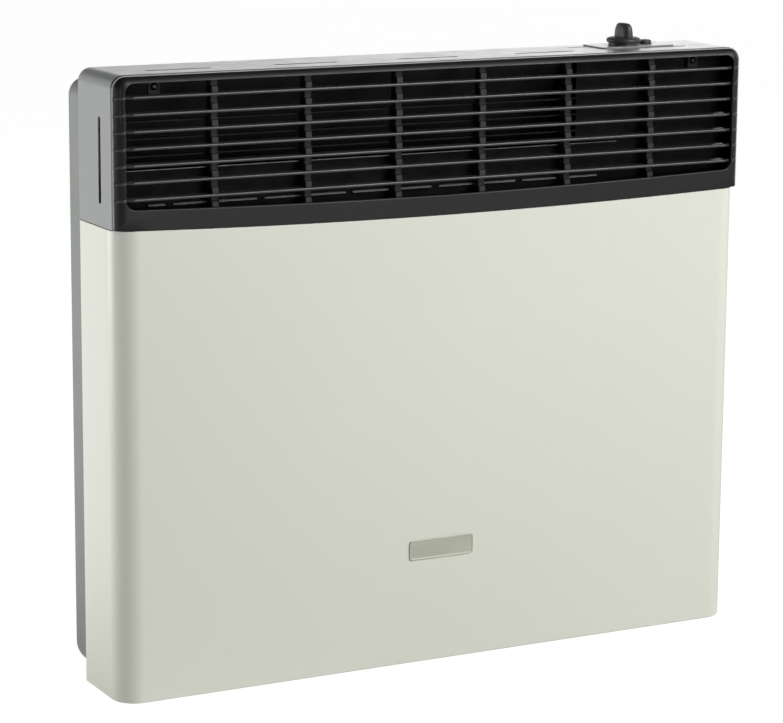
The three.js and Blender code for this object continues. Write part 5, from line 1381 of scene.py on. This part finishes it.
class HEATER_OT_hood(bpy.types.Operator):
    """Dark hood over the top with its slots"""
    bl_idname = "heater.hood"
    bl_label = "Top Hood"
    bl_options = UNDOABLE

    def execute(self, context):
        shell = skin(hood_rings(), around=False, along=True, caps="sides")
        piece("hood_cover", shell, "hood_enamel", "hood_grey", "top_hood", cutters=hood_cutters())
        # A black strip in the gap between casing and hood, as painted shade of the seam.
        piece("seam_strip", seam_strip(), "heat_black", "black_sheet")
        return DONE


class HEATER_OT_grille(bpy.types.Operator):
    """Moulded grille: frame, rim, louvre bars, screw lugs and ribs"""
    bl_idname = "heater.grille"
    bl_label = "Front Grille"
    bl_options = UNDOABLE

    def execute(self, context):
        heights, lug_x = bar_heights(), 0.297
        bars = [louvre_bar(height) for height in heights]
        ridges = [rail_ridge(height, side) for height in heights for side in (-1, 1)]
        webs = [corner_web(height) for height in heights[3:]]
        lugs = [screw_lug(x) for x in (-lug_x, lug_x)]
        ribs = [rib_column(x) for x in rib_places()]
        # The frame's, bars' and ribs' blacks differ as painted shade and painted light on one
        # moulding.
        for name, part, look, sharp in (
            ("grille_frame", grille_frame(), "moulded_black", 40),
            # The rim's pale grey is a painted highlight.
            ("grille_rim", grille_rim(), "rim_metal", 60),
            ("grille_bars", joined(*bars, *ridges, *webs), "bar_black", 50),
            ("grille_lugs", joined(*lugs), "dusty_black", 50),
            ("grille_ribs", joined(*ribs), "rib_grey", 50),
        ):
            piece(name, part, look, "grille_black", "front_grille", sharp=sharp)
        return DONE


class HEATER_OT_deflector(bpy.types.Operator):
    """Black deflector with edges made light as painted highlights, and the air guide behind it"""
    bl_idname = "heater.deflector"
    bl_label = "Air Deflector"
    bl_options = UNDOABLE

    def execute(self, context):
        for name, part, look, node in (
            # The deflector sheet's very dark black is painted shade behind the bars.
            ("deflector_sheet", deflector_sheet(), "heat_black", "air_deflector"),
            # The vanes' lighter black is painted light.
            ("deflector_vanes", deflector_vanes(), "dusty_black", "air_deflector"),
            # Painted highlight: a light strip along the lip's front edge.
            ("lip_edge", lip_edge(), "bare_edge", "air_deflector"),
            # Painted highlights: the pressed lips in near white.
            ("pressed_lips", pressed_lips(), "rubbed_edge", "air_deflector"),
            ("guide_sheet", guide_sheet(), "dusty_black", "air_guide"),
        ):
            piece(name, part, look, "black_sheet", node)
        return DONE


class HEATER_OT_pan(bpy.types.Operator):
    """Pressed wall pan with its keyholes and duct holes"""
    bl_idname = "heater.pan"
    bl_label = "Wall Pan"
    bl_options = UNDOABLE

    def execute(self, context):
        piece("wall_pan", pan_shell(), "pan_enamel", "pan_grey", "rear_pan", cutters=pan_cutters())
        return DONE


class HEATER_OT_badge(bpy.types.Operator):
    """Bare satin badge plate on the casing"""
    bl_idname = "heater.badge"
    bl_label = "Badge Plate"
    bl_options = UNDOABLE

    def execute(self, context):
        piece("badge", badge_form(), "satin_badge", "badge_silver", "badge_plate", sharp=60)
        return DONE


class HEATER_OT_controls(bpy.types.Operator):
    """Control plate, knob, its collar and igniter button"""
    bl_idname = "heater.controls"
    bl_label = "Controls"
    bl_options = UNDOABLE

    def execute(self, context):
        (*_, low), (*_, high) = corners("control_plate")
        look = ("moulded_grey", "knob_grey")
        piece("plate", control_plate_form(), "hood_enamel", "hood_grey", "control_plate",
              cutters=control_cutters((low - 0.002, high + 0.002)), sharp=35)
        piece("knob_cap", knob_form(), *look, "control_knob", body=KNOB)
        piece("knob_collar", knob_collar(), *look)
        piece("push_button", button_form(), *look, "igniter_button", body=BUTTON)
        return DONE


class HEATER_OT_ducts(bpy.types.Operator):
    """Exhaust and intake ducts with their fibre gaskets"""
    bl_idname = "heater.ducts"
    bl_label = "Ducts"
    bl_options = UNDOABLE

    def execute(self, context):
        for duct in ("exhaust", "intake"):
            spigot, gasket = f"{duct}_spigot", f"{duct}_gasket"
            piece(f"{duct}_duct", duct_form(spigot), "zinc_coat", "galvanised", spigot, sharp=35)
            piece(f"{duct}_ring", gasket_form(gasket), "fibre_sheet", "fibre", gasket, sharp=35)
        return DONE


class HEATER_OT_pipes(bpy.types.Operator):
    """Gas pipes, capillary, thermocouple, ignition lead and electrode"""
    bl_idname = "heater.pipes"
    bl_label = "Pipes and Leads"
    bl_options = UNDOABLE

    def execute(self, context):
        for name, form, look, slot, node in (
            ("supply_tube", supply_form, "drawn_copper", "copper", "supply_pipe"),
            ("manifold_tube", manifold_form, "drawn_copper", "copper", "manifold_pipe"),
            ("pilot_line", pilot_tube_form, "drawn_copper", "copper", "pilot_tube"),
            ("thermocouple_lead", thermocouple_form, "drawn_copper", "copper", "thermocouple"),
            ("sensing_bulb", bulb_form, "drawn_copper", "copper", "thermostat_bulb"),
            ("ignition_lead", lead_form, "red_silicone", "red_silicone", "ignition_wire"),
            ("spark_rod", electrode_form, "bright_steel", "steel", "spark_electrode"),
        ):
            piece(name, form(), look, slot, node, sharp=35)
        return DONE


class HEATER_OT_turned_parts(bpy.types.Operator):
    """Spindle and fixing screws"""
    bl_idname = "heater.turned_parts"
    bl_label = "Turned Parts"
    bl_options = UNDOABLE

    def execute(self, context):
        black = "blackened_steel"
        piece("spindle", spindle_form(), black, "steel", "knob_spindle", body=KNOB, sharp=35)
        for side in ("left", "right"):
            node = f"grille_screw_{side}"
            piece(f"screw_{side}", screw_form(node), black, black, node,
                  cutters=cross_recess(node), sharp=35)
        return DONE


class HEATER_OT_finish_solids(bpy.types.Operator):
    """Finishes on the solids that keep their own shape"""
    bl_idname = "heater.finish_solids"
    bl_label = "Finish Solids"
    bl_options = UNDOABLE

    def execute(self, context):
        slots = {part["node"]: part["material_slot"] for part in frame["record"]["subparts"]}
        for name, node in frame["nodes"].items():
            node.data.materials.clear()
            node.data.materials.append(finish(SLOT_FINISHES[slots[name]]))
        return DONE


class HEATER_OT_stage(bpy.types.Operator):
    """Pale floor, soft studio light and the camera"""
    bl_idname = "heater.stage"
    bl_label = "Stage"
    bl_options = UNDOABLE

    def execute(self, context):
        add_floor()
        add_world()
        for name, location, target, size, watts in (
            ("left_softbox", (-1.9, 0.95, 0.05), (-0.3, -0.05, -0.05), (1.2, 0.8), 14.0),
            ("front_softbox", (1.37, -2.05, 1.75), (0.0, -0.10, 0.05), (1.4, 1.2), 59.0),
            ("low_softbox", (0.7, -2.7, 0.35), (0.0, -0.10, 0.1), (1.2, 0.5), 8.0),
        ):
            add_softbox(name, location, target, size, watts)
        add_camera()
        return DONE


# ---------------------------------------------------------------- stage

def floor_finish():
    """Pale matte floor: white to the camera; to the object bright at the left rear, else dim."""
    slant_direction, seen_strength = (-0.6, 1.0, 0.0), 0.93
    surface = Surface("pale_floor")
    surface.colours(surface.noise(1.5, 2), (0.30, 0.30, 0.30), (0.33, 0.33, 0.33))
    surface.roughness(surface.noise(3, 2), 0.8, 0.9)
    surface.fixed(dict(Emission_Color=(1, 1, 1, 1), Specular_IOR_Level=0.05))
    slant = surface.add("ShaderNodeVectorMath")
    slant.operation = "DOT_PRODUCT"
    slant.inputs[1].default_value = slant_direction
    surface.link(surface.place, slant.inputs[0])
    glow = surface.span(slant.outputs["Value"], (-0.2, 0.9), (0.26, 1.1), "SMOOTHSTEP")
    seen = surface.add("ShaderNodeMix")
    seen.data_type = "FLOAT"
    surface.link(surface.add("ShaderNodeLightPath").outputs["Is Camera Ray"], seen.inputs[0])
    surface.link(glow, seen.inputs[2])
    seen.inputs[3].default_value = seen_strength
    surface.link(seen.outputs[0], surface.shader.inputs["Emission Strength"])
    return surface.material


def add_floor():
    """A plain floor at the casing's foot."""
    reach, below = 9.0, 0.0002
    points = reach * np.array([[-1, -1], [1, -1], [1, 1], [-1, 1]])
    floor = raw_object("floor", (place(points, "z", BASE - below), [[0, 1, 2, 3]]))
    floor.data.materials.append(floor_finish())


def add_world():
    """A studio round: bright at the horizon and to the right, dark overhead and dimmer in front."""
    world = bpy.data.worlds.new("studio")
    bpy.context.scene.world = world
    studio = Nodes(world)
    add, link = studio.add, studio.link
    direction = add("ShaderNodeSeparateXYZ")
    link(add("ShaderNodeTexCoord").outputs["Generated"], direction.inputs["Vector"])

    def span(axis, bounds, levels):
        return studio.span(direction.outputs[axis], bounds, levels, "SMOOTHSTEP")

    def combined(operation, *terms):
        node = add("ShaderNodeMath")
        node.operation = operation
        for term, socket in zip(terms, node.inputs):
            link(term, socket)
        return node.outputs["Value"]

    overhead = span("Z", (0.24, 0.42), (1.0, 0.12))
    behind = combined("MULTIPLY", span("Y", (0.24, 0.56), (0.10, 1.25)),
                      span("X", (0.28, 0.62), (0.72, 1.85)))
    beside = span("X", (0.72, 0.95), (0.0, 0.45))
    white = (1.0, 1.0, 1.0, 1.0)
    around, seen = [add("ShaderNodeBackground", Color=white) for _ in range(2)]
    strength = combined("MULTIPLY", overhead, combined("ADD", behind, beside))
    link(strength, around.inputs["Strength"])
    mix, output = add("ShaderNodeMixShader"), add("ShaderNodeOutputWorld")
    link(add("ShaderNodeLightPath").outputs["Is Camera Ray"], mix.inputs["Fac"])
    link(around.outputs["Background"], mix.inputs[1])
    link(seen.outputs["Background"], mix.inputs[2])
    link(mix.outputs["Shader"], output.inputs["Surface"])


def add_softbox(name, location, target, size, watts):
    """A rectangular soft light that faces its target."""
    light = bpy.data.lights.new(name, "AREA")
    light.shape = "RECTANGLE"
    light.size, light.size_y = size
    light.energy = watts
    obj = bpy.data.objects.new(name, light)
    towards = Vector(target) - Vector(location)
    facing = towards.to_track_quat("-Z", "Y").to_matrix().to_4x4()
    obj.matrix_world = Matrix.Translation(Vector(location)) @ facing
    obj.visible_camera = False
    bpy.context.scene.collection.objects.link(obj)


CAMERA_PLACE = (-1.3754, -2.6375, 0.5953)
CAMERA_YAW, CAMERA_PITCH, CAMERA_ROLL = 27.823, 11.597, 0.409
CAMERA_LENS, CAMERA_SENSOR, CAMERA_RANGE = 135.98, 36.0, 60.0


def add_camera():
    """The photograph's camera: its place, its yaw to the right, its pitch down and its roll."""
    yaw, pitch, roll = (math.radians(value) for value in (CAMERA_YAW, CAMERA_PITCH, CAMERA_ROLL))
    level = math.cos(pitch)
    ahead = Vector((math.sin(yaw) * level, math.cos(yaw) * level, -math.sin(pitch)))
    right = Vector((math.cos(yaw), -math.sin(yaw), 0.0))
    up = right.cross(ahead)
    tilted_right = math.cos(roll) * right + math.sin(roll) * up
    tilted_up = math.cos(roll) * up - math.sin(roll) * right
    lens = bpy.data.cameras.new("photo_view")
    lens.sensor_fit = "HORIZONTAL"
    lens.sensor_width, lens.lens, lens.clip_end = CAMERA_SENSOR, CAMERA_LENS, CAMERA_RANGE
    camera = bpy.data.objects.new("photo_view", lens)
    facing = Matrix((tilted_right, tilted_up, -ahead)).transposed().to_4x4()
    camera.matrix_world = Matrix.Translation(CAMERA_PLACE) @ facing
    scene = bpy.context.scene
    scene.collection.objects.link(camera)
    scene.camera = camera
    scene.view_settings.view_transform = "Standard"


# ---------------------------------------------------------------- add-on

class HEATER_PT_sidebar(bpy.types.Panel):
    """Lists the heater's sizes, finishes and operators"""
    bl_idname = "HEATER_PT_sidebar"
    bl_label = "Wall Gas Heater"
    bl_space_type = "VIEW_3D"
    bl_region_type = "UI"
    bl_category = "Heater"

    def draw(self, context):
        column = self.layout.column(align=True)
        for operator in PIECE_OPERATORS:
            column.operator(operator.bl_idname)
        for title, group in (("Sizes", sizes()), ("Finishes", finishes())):
            column = self.layout.column(align=True)
            column.label(text=title)
            for name in group.__annotations__:
                column.prop(group, name)


PIECE_OPERATORS = (
    HEATER_OT_stage,
    HEATER_OT_finish_solids,
    HEATER_OT_casing,
    HEATER_OT_hood,
    HEATER_OT_grille,
    HEATER_OT_deflector,
    HEATER_OT_pan,
    HEATER_OT_badge,
    HEATER_OT_controls,
    HEATER_OT_ducts,
    HEATER_OT_pipes,
    HEATER_OT_turned_parts,
)
CLASSES = (HeaterSizes, HeaterFinishes, *PIECE_OPERATORS, HEATER_PT_sidebar)


def register():
    for cls in CLASSES:
        bpy.utils.register_class(cls)
    bpy.types.Scene.heater_sizes = PointerProperty(type=HeaterSizes)
    bpy.types.Scene.heater_finishes = PointerProperty(type=HeaterFinishes)


def unregister():
    del bpy.types.Scene.heater_finishes
    del bpy.types.Scene.heater_sizes
    for cls in reversed(CLASSES):
        bpy.utils.unregister_class(cls)


def main():
    """Registers the add-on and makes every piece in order."""
    register()
    for operator in PIECE_OPERATORS:
        group, action = operator.bl_idname.split(".")
        getattr(getattr(bpy.ops, group), action)()


if __name__ == "__main__":
    main()
